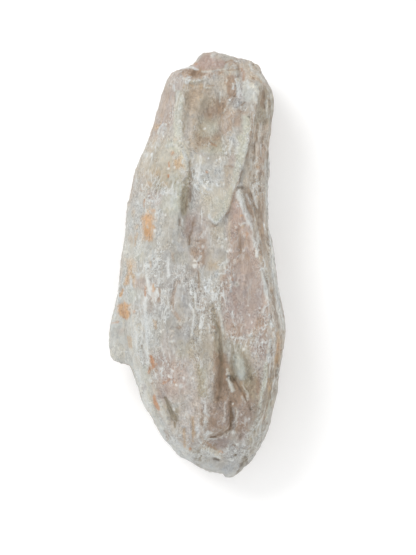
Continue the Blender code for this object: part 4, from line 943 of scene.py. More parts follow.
# %% The lower left and the rounded end
zones += [
    ([(-24, -55), (-5, -56), (-4, -74), (-20, -80)], "pink", 0.8, 4),
    ([(-24, -52), (-14, -54), (-13, -69), (-22, -67)], "mauve", 0.6, 3),
    ([(-22, -73), (-17, -73), (-16, -80), (-22, -80)], "mauve", 0.6, 1.5),
    ([(-17, -84), (-10.6, -82), (-9.6, -89), (-14, -91)], "olive", 0.9, 1.6),
    ([(-18, -78), (-14.4, -80), (-10.2, -85), (-9.8, -91), (-12.6, -92.4), (-15, -88)],
     "dark olive", 0.75, 1.4),
    ([(1, -59), (6.4, -59), (7.4, -78), (2, -78)], "olive", 0.9, 1.6),
    ([(4, -109), (11, -113), (16, -115), (15, -110.6), (9, -108)], "cream", 0.7, 1.2),
    ([(13, -103), (19, -102), (19, -109), (12, -109)], "mauve", 0.7, 1.2),
    ([(18, -121), (24, -120), (24, -127.6), (18, -127.6)], "cool grey", 0.6, 1.8),
    # dark olive on the right side of the nib: partly olive stone, partly painted shade
    ([(28.4, -112), (31.6, -113.6), (30.4, -119.6), (26, -126), (23.6, -127), (25.4, -121), (27.6, -117)],
     "dark olive", 0.6, 1.2),
    # white on the lower-left margin and the end below it: partly powder, partly painted light that lifts
    # slopes the lamps leave dim
    ([(-38, -60), (-31, -62), (-28, -80), (-18, -100), (-8, -112), (-4, -120), (-22, -108), (-34, -88)],
     "white", 0.75, 3),
    ([(-14, -103), (-6, -106), (-2, -112), (-4, -120), (-14, -113), (-18, -107)], "white", 0.6, 2),
    ([(40, -62), (46, -62), (46, -84), (38, -87)], "dark olive", 0.45, 2),
    ([(36, -84), (45, -80), (41, -100), (33, -117), (28, -122), (27, -116), (32, -104)],
     "olive", 0.35, 2.5),
    ([(26, -122), (34, -116), (42, -104), (38, -112), (28, -126)], "cool grey", 0.6, 2),
    ([(4, -119), (14, -124), (24, -127), (27, -121), (27, -114), (12, -117.4)], "white", 0.6, 1.6),
    ([(9, -116), (27, -112), (28, -121), (22, -126), (12, -123.4)], "bluish grey", 0.65, 2),
    ([(33, -86), (42, -84), (40, -98), (34, -108), (30, -112), (31, -100)], "dark olive", 0.3, 2.5),
]
lines += [
    ([(-26.2, -53.6, 1.0), (-25.4, -57, 1.3), (-25, -60, 1.1)], "rust", 0.9, -0.2),
    ([(-26.8, -60, 0.7), (-27.6, -64, 0.6)], "rust", 0.7, -0.2),
    ([(-25.6, -61, 0.5), (-22.4, -61.8, 0.5)], "rust", 0.55, 0),
    ([(-23, -62, 0.8), (-24.4, -66, 0.9), (-25.6, -70, 0.8)], "pink brown", 0.7, -0.2),
    ([(-19.6, -70, 0.6), (-17, -68, 0.6), (-13.6, -67, 0.6), (-12.8, -68.8, 0.6)], "rust", 0.6, 0),
    ([(-24.4, -77.6, 0.9), (-23.6, -82, 1.1), (-21.6, -85.4, 0.9)], "rust", 0.8, -0.2),
    ([(-20.8, -80, 0.9), (-19.6, -86, 1.5), (-16.8, -93, 1.3)], "pale", 0.9, 0.5),
    ([(-18.2, -78.6, 0.7), (-16.2, -82, 1.0), (-14.2, -86.4, 1.3), (-12.4, -89.4, 1.2), (-11, -92, 0.7)],
     "dark olive", 0.85, -1.2),
    ([(-18.2, -83, 0.6), (-17.2, -87, 0.6), (-15.8, -89.6, 0.6)], "cream", 0.85, 0.4),
    ([(-12.8, -93.4, 0.7), (-12, -95.8, 0.7)], "dark olive", 0.85, -0.6),
    ([(-6.8, -97, 0.9), (-6.4, -108, 0.9)], "tan", 0.7, -0.2),
    ([(-4.6, -95, 1.2), (-4.6, -106, 1.2)], "pale pink", 0.7, 0.2),
    ([(-1.4, -90, 0.9), (-1.2, -104, 0.9)], "tan", 0.65, -0.2),
    ([(1, -95.6, 0.6), (1.6, -101, 0.6), (3, -104.8, 0.6)], "white", 0.7, 0.3),
    ([(4, -85.6, 0.9), (3.8, -94, 0.9)], "brown", 0.55, -0.3),
    ([(5.4, -80.6, 0.5), (6, -87, 0.6), (8, -88.8, 0.5)], "white", 0.6, 0.3),
    ([(6.2, -91, 0.6), (6.4, -95, 0.5)], "white", 0.6, 0.3),
    ([(7.2, -98.6, 0.8), (7, -100.4, 0.8), (5.8, -103, 0.6)], "white", 0.75, 0.4),
    ([(7, -103.4, 0.5), (12.4, -102.8, 0.5)], "white", 0.7, 0.3),
    ([(-17.4, -98.6, 0.9), (-16.2, -104.6, 0.9)], "pink brown", 0.6, -0.2),
    ([(7.4, -105, 0.8), (9.6, -108, 0.9), (12.6, -109.4, 0.8)], "brown", 0.85, -0.3),
    ([(4.6, -109.2, 0.6), (11, -113.2, 0.8), (14.6, -114.7, 0.6)], "white", 0.8, 0.5),
    ([(3.4, -113, 0.6), (2.6, -116, 0.7)], "dark olive", 0.8, -0.8),
    ([(11, -115.2, 0.7), (14, -116, 0.7)], "dark", 0.7, -0.9),
    ([(29.7, -113.2, 0.7), (30.8, -118, 0.8)], "dark", 0.75, -0.9),
    ([(44.4, -80, 0.6), (42.2, -92, 0.7)], "pale green", 0.6, 0.3),
    ([(42.4, -82, 0.5), (40, -94, 0.6)], "brown", 0.5, -0.3),
    ([(41.4, -84, 0.6), (38, -99, 0.6)], "white", 0.5, 0.3),
    ([(39.4, -88, 0.5), (36, -102, 0.6)], "tan cream", 0.5, 0),
    ([(38, -92, 0.6), (34, -107, 0.6)], "pale", 0.5, 0.3),
    ([(36.4, -92, 0.5), (33, -104, 0.6)], "olive", 0.5, -0.3),
    # a dark line down the nib's right side: partly a gash, partly painted shade
    ([(28.6, -116, 0.8), (27.2, -120, 1.0), (25.2, -123.6, 0.9)], "dark", 0.6, -0.7),
]
spots += [
    ((-24, -59), (1.1, 1.1), 0, "rust", 0.7, 0.5, 0),
    ((-26.6, -68), (1.2, 1.6), 0, "white", 0.75, 0.6, 0.3),
    ((-24.8, -66.4), (0.8, 0.8), 0, "white", 0.7, 0.5, 0.3),
    ((-12, -83), (2, 1.4), 0, "grey", 0.7, 0.6, 0),
    ((-8.4, -71.2), (1.3, 1.3), 0, "white", 0.6, 0.5, 0.3),
    ((8.4, -99), (1.3, 1.3), 0, "white", 0.6, 0.5, 0.3),
    ((11.8, -106.4), (1.5, 1.3), 0, "deep brown", 0.75, 0.5, -0.4),
    ((15.2, -110.6), (1.0, 0.8), 0, "rust", 0.65, 0.5, 0),
    ((2.2, -110.4), (1.2, 0.9), 0, "dark olive", 0.75, 0.5, -0.6),
    ((0.6, -115.4), (0.9, 1.2), 0, "dark olive", 0.75, 0.5, -0.6),
    ((-3, -108.9), (0.7, 1.2), 0, "rust", 0.8, 0.5, -0.4),
    ((23.8, -112.8), (1.2, 1.0), 0, "dark olive", 0.85, 0.5, -0.9),
    ((22.4, -106.6), (1.0, 0.9), 0, "deep brown", 0.7, 0.5, -0.6),
    ((26.4, -118.4), (0.8, 0.7), 0, "dark olive", 0.7, 0.5, -0.4),
    ((29.2, -114.8), (1.6, 2.6), 10, "dark olive", 0.6, 0.7, -0.2),
    ((24.6, -108.6), (1.4, 1.2), 0, "mauve", 0.6, 0.6, -0.2),
    ((31, -108), (1.4, 1.4), 0, "mauve", 0.5, 0.6, -0.2),
    ((-30.6, -72.6), (1.4, 1.8), 0, "mauve", 0.5, 0.6, 0),
]
flecks([(-12.6, -85, 0.8), (-10, -81.6, 0.7), (-11.4, -70.4, 0.7), (-13.2, -62, 0.8),
        (-15.6, -65.6, 0.8), (-7, -66.6, 0.8), (-1.2, -66.6, 0.7)])
flecks([(-2.4, -62, 0.8), (1, -58.4, 0.7), (2, -60, 0.7)], "olive", -0.2)
told("rounded end")

# %% [markdown]
# ## Relief
#
# Talc splits into fibres, so the skin gets ribs: long ones about 3 mm wide and finer ones on top.
# The ledges are the stone's main lines. Rounding has softened them, so the difference between a
# crisp step and a soft one is added along each, which raises the lip and cuts in under it. Cracks,
# pits and splinters are lines and spots of their own.

# %% Ledges
# Each path has (x, y, height) points, and the side on its right, seen along it, is the higher.
LEDGES = {
    "right edge of the plate": [
        (40.5, 111, 1.4), (39, 104, 2.6), (36.8, 96, 3.0), (34.8, 88, 3.0), (33.4, 80, 2.8),
        (31.4, 73, 2.6), (29.8, 65, 2.4), (27.6, 57, 2.0), (25.6, 50, 1.6), (23.6, 45, 1.2),
        (21.6, 38, 1.0), (20, 33, 0.9), (17.2, 30, 0.7), (14, 26.5, 0.5), (12, 24.6, 0.4),
    ],
    "left edge of the plate": [
        (12, 24.6, 0.4), (9.4, 27.2, 0.6), (7.4, 31, 0.8), (5.4, 35.5, 1.0), (3, 40, 0.9),
        (0.5, 45, 0.8), (-1.2, 50, 0.6), (-2.2, 56, 0.3),
    ],
    "lip right of the dish": [
        (14, 72, 0.4), (17, 77, 1.0), (15.6, 84, 1.8), (15.6, 89, 2.6), (17, 93, 2.8),
        (19.6, 98, 2.6), (23, 100.5, 2.0), (25, 105, 1.4), (27, 111, 0.6),
    ],
    "step across the plate": [(0, 66, 0.5), (5, 64.6, 0.9), (12, 65, 0.9), (20, 64.4, 0.5)],
    "shoulder above the right side": [
        (25, 46, 0.6), (28.2, 38, 1.2), (31.4, 30, 1.6), (34.8, 21, 2.0), (38.2, 11, 2.0),
        (41, 3, 2.0), (42.6, -7, 1.8), (43.8, -17, 1.8), (45.4, -26, 1.6), (46.8, -35, 1.4),
        (45.6, -50, 1.4), (43.4, -62, 1.6), (41, -74, 1.4), (38, -86, 1.0), (34, -98, 0.4),
    ],
    "end of the lobe": [(21.4, -95, 1.0), (18, -98.4, 1.6), (13, -101, 1.6), (8, -103, 0.6)],
    "edge over the rounded end": [
        (27, -110, 0.5), (20, -113, 0.8), (13, -114, 1.0), (6, -111, 1.0), (0, -108.5, 0.6),
    ],
}
READ_AT = 0.8  # the places were measured from a line this much left of the stone's middle
STRAY = 0.5  # how far a ledge strays from its path, in mm
CRISP, SOFT = (0.9, 0), (2.6, -1.4)  # from foot to lip of a sharp step and of a rounded one, in mm
x, y = points[:, 0] + READ_AT, points[:, 1]

relief = np.zeros(len(points))
for path in LEDGES.values():
    away, height = line_distance(path, x + STRAY * rough, y)
    relief += height * (step(*CRISP, away) - step(*SOFT, away)) * upper
print(f"ledges add {relief.min():.1f} to {relief.max():.1f} mm")

# %% [markdown]
# Lines and spots get a bell-shaped profile, high or deep in the middle and gone at the rim, as a
# sculpting brush leaves it. A small warp makes them wander as a crack does. Nothing is narrower
# than the skin's cells can show, or a crack would turn into a row of teeth.

# %% Lines and spots as relief
bent = np.stack([grain_noise(points, 2.4, 4, seed) for seed in (51.3, 57.9)], 1)
BEND = 0.55  # how far the warp moves a mark, in mm
NARROWEST = 0.65  # the least half-width of a line, in mm
mx, my = x + BEND * bent[:, 0], y + BEND * bent[:, 1]  # where the drawn lines and spots lie
for path, _, _, height in lines:
    if height:
        away, width = line_distance(path, mx, my)
        relief += height * np.exp(-((away / np.maximum(width, NARROWEST)) ** 2)) * upper
for centre, half_widths, turn, _, _, _, height in spots:
    if height:
        away = spot_distance(centre, half_widths, turn, mx, my)
        relief += height * np.exp(-(away**2)) * upper
print(f"with the marks {relief.min():.1f} to {relief.max():.1f} mm")

# %% [markdown]
# The right side has split into clear ribs, and the pale faces are nearly smooth. So a mask says how
# clearly the fibres show at each point, and both the relief and the finish use it. It could be
# painted by hand as vertex weights, but a list of ovals is easier to read and to change.

# %% Where the fibres show
# Centre, half-widths, turn in degrees and how clearly the stone splits into fibres there.
FIBROUS = [
    ((41, 74), (9, 40), 2, 1.0), ((39, 30), (6, 30), 6, 1.0), ((47, -36), (7, 60), -3, 1.0),
    ((36, -94), (12, 22), -15, 0.7), ((-14, 92), (8, 24), -12, 0.4), ((26, 10), (6, 30), 8, 0.3),
    ((-4, -22), (5, 26), 0, 0.15), ((-30, -36), (6, 30), 2, 0.25), ((2, -94), (8, 14), -5, 0.7),
    ((-12, -96), (8, 14), -25, 0.5), ((14, -40), (5, 24), 5, 0.5), ((24, 100), (6, 12), 0, 0.5),
    ((-2, 28), (5, 16), 5, 0.3), ((-8, -74), (14, 22), -8, 0.3), ((12, 14), (6, 14), 0, 0.25),
]
fibre = raised(0.75 * (1 - upper), FIBROUS, (1.4, 0.6), x, y)
print(f"fibres on {(fibre > 0.5).mean():.0%} of the points")

# %% [markdown]
# Ribs and chips go on along the normal, all the way round, and everything that is drawn goes
# straight up or down. The face that the stone rests on stays flat: nothing there moves, and no
# point sinks below it.

# %% Press the relief into the skin
chips = grain_noise(points, 5.5, 12, 3.9, "fractal")
pocks = grain_noise(points, 1.9, 2.5, 6.7)
bottom = step(1.2, 0.2, points[:, 2])  # 1 on the face that the stone rests on
ribbing = (0.05 + 0.5 * fibre) * ribs + (0.04 + 0.3 * fibre) * fine_ribs
roughness = 0.34 * rough + 0.36 * pocks + 0.3 * np.round(chips * 3) / 3  # rounding flattens chips
moved = points + facing * ((ribbing + roughness) * (1 - bottom))[:, None]
moved[:, 2] += relief
moved[:, 2] = np.maximum(moved[:, 2], 0)
skin_mesh.vertices.foreach_set("co", (moved * MM).astype(np.float32).ravel())
skin_mesh.update()
grown = moved.max(0) - moved.min(0)
print("with relief:", " x ".join(f"{side:.1f}" for side in grown), "mm")

# %% [markdown]
# ## Colours of the stone
#
# The marks name their colours, and this is the palette they take them from. A few names for the
# whole stone keep its colours in one family: greys and greens of talc, pinks and browns of its beds,
# and the orange of rust. Each is written as it should look, and `tone` takes the light out of it.

# %% A palette
LIT = 1.37  # the light on the top of the stone, against what shows white paper as white


def tone(code):
    """The stone's own colour, from the six digits of how it looks in this light."""
    parts = np.array([int(code[i : i + 2], 16) for i in (0, 2, 4)]) / 255
    return np.where(parts <= 0.04045, parts / 12.92, ((parts + 0.055) / 1.055) ** 2.4) / LIT


PALETTE = {
    "grey": "c1bfb8", "cool grey": "bbbeb9", "warm grey": "bfb6a9", "bluish grey": "b1aeaa",
    "pale": "d2d1c8", "white": "e3e5e1", "chalk": "eff1ee", "cream": "cfc7b5",
    "tan cream": "c9b9a4", "pale green": "c8c8b8", "olive": "b0a68f", "dark olive": "938771",
    "pale pink": "c9bdb3", "pink": "bca89c", "deep pink": "b69d90", "mauve": "a89890",
    "pink brown": "b29882", "brown": "a58b73", "deep brown": "8b755f", "ochre": "baa589",
    "tan": "c9aa84", "orange": "d4a87a", "rust": "c18b60", "dark": "766b5d", "black": "554d44",
}
PALETTE = {name: tone(code) for name, code in PALETTE.items()}
print(len(PALETTE), "colours")

# %% [markdown]
# The marks are painted over each other into a colour attribute of the mesh: zones with a wide
# ragged rim first, then lines and spots, which lie just where their relief is. The same could be
# painted into an image, but the skin would have to be unwrapped for it, and here each mark keeps its
# place in millimetres. The marks are drawn from above, so they stop a little below the shoulders,
# and the flanks get beds of colour along the grain. The fine streaks and the frost come later, as
# nodes.

# %% Paint the marks into the mesh
wander = np.stack([grain_noise(points, 5, 9, seed) for seed in (11.3, 17.9)], 1)
ragged = np.stack([grain_noise(points, 1.5, 2.4, seed) for seed in (21.1, 27.7)], 1)
px = x + 1.1 * wander[:, 0] + 0.8 * ragged[:, 0]  # where the zones lie
py = y + 1.6 * wander[:, 1] + 1.0 * ragged[:, 1]
fine_x, fine_y = mx + 0.3 * ragged[:, 0], my + 0.4 * ragged[:, 1]  # where the lines and spots lie
turned_up = facing[:, 2] + 0.14 * grain_noise(points, 4, 12, 61.7)
seen = step(-0.08, 0.2, turned_up)  # drawn marks end at a ragged line below the shoulders
# the colours of rust and stains, which the dark marks of painted shade use as well
STAIN_AND_SHADE_COLOURS = ("orange", "rust", "tan", "brown", "deep brown", "dark olive", "dark", "black")

broad = step(-0.35, 0.35, grain_noise(points, 16, 40, 31.3))[:, None]
drift = step(-0.3, 0.4, grain_noise(points, 11, 24, 37.1))[:, None]
paint = PALETTE["grey"] * (1 - broad) + PALETTE["warm grey"] * broad
paint = paint + (PALETTE["pink"] - paint) * 0.4 * drift
BEDS = ((71.3, "tan cream", 0.7), (77.9, "pink brown", 0.6), (83.1, "pale", 0.8), (89.5, "brown", 0.4))
for seed, colour, strength in BEDS:
    bed = strength * (1 - seen) * step(0.05, 0.4, grain_noise(points, 5, 34, seed, "fractal"))
    paint = paint * (1 - bed[:, None]) + PALETTE[colour] * bed[:, None]
stain_and_shade = np.zeros(len(points))


def lay(cover, colour):
    """Lay a colour over the paint where the cover is 1. Stains and painted shade take little frost."""
    cover = cover * seen
    stain_and_shade[:] = stain_and_shade * (1 - cover) + (cover if colour in STAIN_AND_SHADE_COLOURS else 0)
    paint[:] = paint * (1 - cover[:, None]) + PALETTE[colour] * cover[:, None]


for outline, colour, strength, softness in zones:
    lay(strength * step(softness, -softness, patch_distance(outline, px, py)), colour)
torn = 1 + 0.35 * grain_noise(points, 0.9, 1.6, 33.9)  # the rim of a spot breaks up into grains
for path, colour, strength, _ in lines:
    away, width = line_distance(path, fine_x, fine_y)
    lay(strength * step(1.5, 0.5, np.abs(away) / width), colour)
for centre, half_widths, turn, colour, strength, softness, _ in spots:
    away = spot_distance(centre, half_widths, turn, fine_x, fine_y) * torn
    lay(strength * step(1 + softness, 1 - softness, away), colour)
print("painted, mean", paint.mean(0).round(3), f"stained {(stain_and_shade > 0.5).mean():.0%}")

# %% [markdown]
# ## Frost, and dirt and painted shade in the hollows
#
# Two more masks are worth keeping on the mesh. Frost is the white talc powder of knocks and saw
# dust, which sits on what stands out: ridges, lips and the rounded end. The other marks what lies
# low, which the finish darkens: partly with dirt that has settled there, partly with painted shade
# of the hollows. Both come from the shape itself: a point that lies above the mean of its
# neighbours stands out, and one that lies below them is in a hollow.


# %% Hollows and ridges of the skin
def neighbours_mean(mesh, values, rounds):
    """The values after being averaged with their neighbours a number of times."""
    ends = np.empty(len(mesh.edges) * 2, np.int32)
    mesh.edges.foreach_get("vertices", ends)
    a, b = ends.reshape(-1, 2).T
    count = np.bincount(a, minlength=len(values)) + np.bincount(b, minlength=len(values))
    for _ in range(rounds):
        total = np.bincount(a, values[b], len(values)) + np.bincount(b, values[a], len(values))
        values = total / count
    return values


ROUNDS = 14
facing = read(skin_mesh, "normal")  # the relief has turned it
around = [neighbours_mean(skin_mesh, moved[:, i], ROUNDS) for i in range(3)]
proud = ((moved - np.stack(around, 1)) * facing).sum(1) * (0.4 + 0.6 * upper)
stands_out = step(0.05, 0.55, proud)
lies_low = step(-0.1, -0.9, proud)
print(f"proud from {proud.min():.2f} to {proud.max():.2f} mm")

# %% [markdown]
# Frost lies thickest where the block was knocked, dragged and sawn, and those places are listed.
# Ridges take more of it and hollows less, and stains and dark marks of painted shade take little, so
# that the rust stays clear. One even coat would be simpler, but it would turn the whole stone to chalk.

# %% Where the frost is thick
# Centre, half-widths, turn in degrees and how thick the frost is there.
FROSTED = [
    ((-22, 44), (16, 18), 0, 0.6), ((-24, -10), (16, 30), 0, 0.75), ((3, 49), (9, 8), -30, 1.0),
    ((0, -28), (6, 22), 0, 0.7), ((-8, 110), (12, 6), 0, 0.6), ((26, 105), (8, 12), 0, 0.6),
    ((10, -15), (8, 8), 0, 0.8), ((22, -6), (6, 10), 0, 0.55), ((-16, -60), (14, 18), 0, 0.5),
    ((8, -118), (34, 14), 0, 0.8), ((-14, -108), (16, 12), 0, 0.7), ((38, -100), (10, 16), 0, 0.6),
    ((-33, -40), (6, 26), 0, 0.7), ((-28, 68), (8, 8), 0, 0.6), ((38, 60), (6, 20), 0, 0.5),
    ((22, 70), (6, 12), 0, 0.5), ((20, -68), (5, 9), 0, 0.4), ((2, 58), (9, 9), 0, 0.6),
    ((-37, -10), (8, 10), 0, 0.7), ((42, -30), (5, 30), 0, 0.6), ((-5, -68), (8, 12), 0, 0.4),
]
frost = 0.16 + 0.3 * step(-0.1, 0.5, grain_noise(points, 9, 20, 41.9))
frost = raised(frost, FROSTED, (1.5, 0.4), px, py, seen)
frost = np.clip(frost + 0.45 * stands_out - 0.5 * lies_low, 0, 1) * (1 - 0.75 * stain_and_shade)
print(f"frost {frost.mean():.2f} on average")

# %% [markdown]
# Handling or a clean cleavage leaves some places calm. There the stone shows its own soapy sheen,
# with little frost and little grit. A stone that is equally rough all over looks made up, and
# these quiet places between the rough ones are what the eye rests on.

# %% Where the stone is soapy and smooth
# Centre, half-widths, turn in degrees and how calm the stone is there.
SOAPY = [
    ((-11, 5), (4.5, 5), 0, 0.9), ((9.6, 6), (3.4, 6), 0, 0.9), ((14.4, 7), (4, 4), 0, 0.8),
    ((30, -14), (9, 16), 0, 0.6), ((24, 22), (4, 14), 5, 0.4), ((27, -60), (4, 9), 12, 0.9),
    ((-14, 34), (6, 8), 0, 0.6), ((12, 36), (6, 9), 0, 0.5), ((-46, -46), (8, 12), 0, 0.6),
    ((32.6, 103), (5.4, 5.6), 0, 0.9), ((20.8, 106), (4, 7), 0, 0.6), ((12, 106), (7, 6), 0, 0.5),
    ((8, 121), (15, 6), 0, 0.7), ((26, 84), (6, 9), 0, 0.6), ((28, 70), (4, 9), 0, 0.6),
    ((-1, 96), (9, 12), 0, 0.7), ((12, 84), (8, 12), 0, 0.7), ((14, -107), (6, 4), 0, 0.8),
    ((16, -121), (20, 6), 0, 0.85), ((6.5, -68), (2, 12), 0, 0.8), ((6.6, -88), (1.6, 7), 0, 0.5),
    ((-15, 54), (6, 5), 0, 0.7), ((-1, 23), (3, 5), 0, 0.6), ((28, -86), (7, 7), 0, 0.5),
    ((-14, -58), (6, 6), 0, 0.4), ((15, -92), (6, 7), 0, 0.5), ((6, -48), (6, 8), 0, 0.6),
    ((-8, -78), (15, 24), 0, 0.35), ((-7, 42), (4, 12), 0, 0.7), ((14, -66), (6, 16), 0, 0.4),
    ((-34, -12), (4, 5), 0, 0.7), ((14, 120), (10, 6), 0, 0.6), ((-12, 106), (6, 7), 0, 0.5),
    ((30, -84), (9, 12), 0, 0.3), ((40, 80), (6, 24), 0, 0.4), ((-18, -74), (5, 7), 0, 0.4),
]
soapy = raised(np.zeros(len(points)), SOAPY, (1.3, 0.6), px, py, seen)
frost = frost * (1 - 0.75 * soapy)
print(f"soapy on {(soapy > 0.3).mean():.0%} of the points")

# %% [markdown]
# Nodes can read these numbers only from the mesh, so each mask becomes an attribute with one value
# at each point, and the paint becomes a colour attribute. Both stay with the mesh when it is moved
# or exported, and neither needs unwrapping, as an image would.

# %% Keep the masks on the mesh
# the mask of what lies low carries settled dirt and painted shade into the finish
KEPT = {"frost": frost, "dirt_and_shade": lies_low, "fibre": fibre, "soapy": soapy}
for name, values in KEPT.items():
    layer = skin_mesh.attributes.new(name, "FLOAT", "POINT")
    layer.data.foreach_set("value", values.astype(np.float32))
colours = skin_mesh.attributes.new("stone colour", "FLOAT_COLOR", "POINT")
with_alpha = np.concatenate([paint, np.ones((len(paint), 1))], 1)
colours.data.foreach_set("color", with_alpha.astype(np.float32).ravel())
print("attributes:", ", ".join(KEPT), "and the colour")

# %% [markdown]
# ## Writing a finish as an expression
#
# A material is a small program, and it reads best as one. The class below wraps a node's output so
# that Python's own signs work on it: `1 - mask` adds the Math node that does it. Every other node
# comes from one method, which takes the node's type, its settings and what goes into its sockets.
# The nodes could be laid out by hand in the editor, but a formula is easier to follow than a web.


# %% Sockets that can be added and multiplied
class Wire:
    """One output of a node. +, - and * on it add the Math node that works them out."""

    def __init__(self, finish, socket):
        self.finish, self.socket = finish, socket

    def worked(self, operation, first, second):
        """A Math node for numbers, or a Vector Math node for colours and vectors."""
        kind = "ShaderNodeMath" if self.socket.type == "VALUE" else "ShaderNodeVectorMath"
        return self.finish.node(kind, {"operation": operation}, {0: first, 1: second})

    def __add__(self, other):
        return self.worked("ADD", self, other)

    def __sub__(self, other):
        return self.worked("SUBTRACT", self, other)

    def __rsub__(self, other):
        return self.worked("SUBTRACT", other, self)

    def __mul__(self, other):
        return self.worked("MULTIPLY", self, other)

    __radd__, __rmul__ = __add__, __mul__


class Finish:
    """A material that is built up from nodes, ending in its Principled shader."""

    def __init__(self, name):
        self.material = bpy.data.materials.new(name)
        self.material.use_nodes = True
        self.tree = self.material.node_tree
        self.shader = self.tree.nodes["Principled BSDF"]

    def node(self, kind, settings=None, sockets=None, output=0):
        """Add a node, set it up, feed its sockets and give back one of its outputs."""
        made = self.tree.nodes.new(kind)
        for name, value in (settings or {}).items():
            setattr(made, name, value)
        for key, value in (sockets or {}).items():
            self.plug(value, made.inputs[key])
        return Wire(self, made.outputs[output])

    def plug(self, value, socket):
        """Link a wire to a socket, or set the socket to a plain value."""
        if isinstance(value, Wire):
            self.tree.links.new(value.socket, socket)
        elif socket.type == "VECTOR" and isinstance(value, (int, float)):
            socket.default_value = (value, value, value)
        elif socket.type == "RGBA" and len(value) == 3:
            socket.default_value = (*value, 1)
        else:
            socket.default_value = value

    def set(self, **values):
        """Feed the shader's sockets. An underscore stands for a space in a socket's name."""
        for name, value in values.items():
            self.plug(value, self.shader.inputs[name.replace("_", " ")])


print("ready to write finishes")

# %% [markdown]
# ## The soapstone
#
# Up close the stone is a felt of fibres: fine streaks along the grain, lighter and darker, with
# grit between them and white strokes and dust where it was knocked. A picture of real stone would
# give as much, but it would repeat and stretch round the flanks. Noise goes right through the block,
# so it fits every side. Streaks are noise that is stretched along the stone, and grit is noise
# that is hardly stretched. The masks on the mesh say how much of each shows.

# %% Streaks along the grain
stone = Finish("soapstone")
place = stone.node("ShaderNodeTexCoord", output="Object")


def stretched(across, along, slant=0.0):
    """Coordinates in which one unit is this many mm across the grain and along it."""
    turned = stone.node(
        "ShaderNodeMapping", {"vector_type": "POINT"},
        {"Vector": place, "Rotation": (0, 0, math.radians(slant))},
    )
    return turned * (1 / across / MM, 1 / along / MM, 1 / across / MM)


def grain(across, along, slant=0.0, detail=3.0, distortion=0.0):
    """Noise between 0 and 1, stretched to these widths in mm and turned by a slant in degrees."""
    return stone.node(
        "ShaderNodeTexNoise", {},
        {"Vector": stretched(across, along, slant), "Scale": 1.0, "Detail": detail,
         "Roughness": 0.6, "Distortion": distortion},
    )


def rise(value, low, high, to_low=0.0, to_high=1.0):
    """A soft step of a value, from to_low at low to to_high at high."""
    return stone.node(
        "ShaderNodeMapRange", {"interpolation_type": "SMOOTHSTEP"},
        {"Value": value, "From Min": low, "From Max": high, "To Min": to_low, "To Max": to_high},
    )


def mixed(amount, first, second):
    """The first colour where the amount is 0, the second where it is 1."""
    return stone.node(
        "ShaderNodeMix", {"data_type": "RGBA"},
        {0: amount, 6: first, 7: second}, output=2,
    )


def mask(name):
    """One of the masks that the mesh keeps."""
    return stone.node("ShaderNodeAttribute", {"attribute_name": name}, output="Fac")


grit = grain(0.9, 1.2, 15, 2, 0.5)
mottle = grain(2.4, 3.2, -12, 3, 0.8)
streaks = grain(1.3, 9, 2, 3, 0.5)
broad_streaks = grain(3.0, 26, -2, 2, 0.4)
print(len(stone.tree.nodes), "nodes so far")

# %% [markdown]
# Talc cleaves in small flat scales, and each takes the light in its own way. The cells of a Voronoi
# texture stand for them, stretched along the grain and torn at the rim by a noise. A cell's random
# colour is three numbers in one: how light it is, how pink or green and how rough. Two sizes lie
# over each other, because one alone would look like a pavement.


# %% Cleavage patches
def patches(across, along, slant, ragged):
    """Three random numbers for each patch: how light, how pink or green, and how rough it is."""
    torn = stretched(across, along, slant) + ragged * stone.node(
        "ShaderNodeTexNoise", {}, {"Vector": stretched(2.2, 3.4, slant), "Detail": 3.0, "Scale": 1.0},
        output="Color",
    )
    cell = stone.node(
        "ShaderNodeTexVoronoi", {"feature": "F1"}, {"Vector": torn, "Scale": 1.0}, output="Color"
    )
    return [stone.node("ShaderNodeSeparateColor", {}, {"Color": cell}, output=i) for i in range(3)]


light_a, tint_a, rough_a = patches(3.4, 6, 4, 0.9)
light_b, tint_b, rough_b = patches(8, 17, -5, 0.7)
soapy_mask = mask("soapy")
rough_patch = 0.36 * (rough_a + rough_b) + 0.28 * grain(14, 22, 9, 2)
rough_patch = rise(rough_patch, 0.38, 0.6, 0.22, 1.12) * (1 - 0.55 * soapy_mask)
print(len(stone.tree.nodes), "nodes with the patches")

# %% [markdown]
# A knock leaves short white strokes, and dry talc fills the fine cracks. The places where a smooth
# noise crosses its middle value are thin bent lines with no end, so they are kept only in patches.
# Three slants of them cross, and longer ones make veins. Dust is fine noise inside patches of a
# coarser one, and powder a broad haze. Scratches could be drawn one by one, but there are thousands.


# %% White strokes, veins and dust
def strokes(across, along, slant, width, kept, detail=0.0):
    """Thin bent strokes: the level lines of a smooth noise, kept only in patches."""
    level = grain(across, along, slant, detail, 0.8)
    off = stone.node("ShaderNodeMath", {"operation": "ABSOLUTE"}, {0: level - 0.5})
    patch = grain(across * 0.6, along * 0.6, slant + 31, 1.0)
    return rise(off, width, width * 0.35) * rise(patch, kept, kept + 0.05)


frost_mask, fibre_mask, dirt_and_shade_mask = mask("frost"), mask("fibre"), mask("dirt_and_shade")
scratches = strokes(2.6, 6.0, 4, 0.06, 0.46) + strokes(2.2, 4.2, -32, 0.06, 0.5)
scratches = scratches + strokes(1.9, 3.4, 48, 0.06, 0.53)
veins = strokes(6.5, 34, 3, 0.03, 0.42, 1.5) + strokes(9, 26, -9, 0.022, 0.46, 1.5)
dust = rise(grain(0.9, 1.2, 25, 2, 0.6), 0.52, 0.62) * rise(grain(3.4, 5, 8, 2), 0.44, 0.58)
powder = rise(grain(5, 10, 12, 3, 0.5), 0.46, 0.66)
specks = rise(grain(0.9, 1.3, -8, 1, 0.3), 0.36, 0.27)
white = frost_mask * (rough_patch * (0.95 * scratches + 0.85 * dust) + 0.75 * veins + 0.3 * powder)
print(len(stone.tree.nodes), "nodes with the frost")

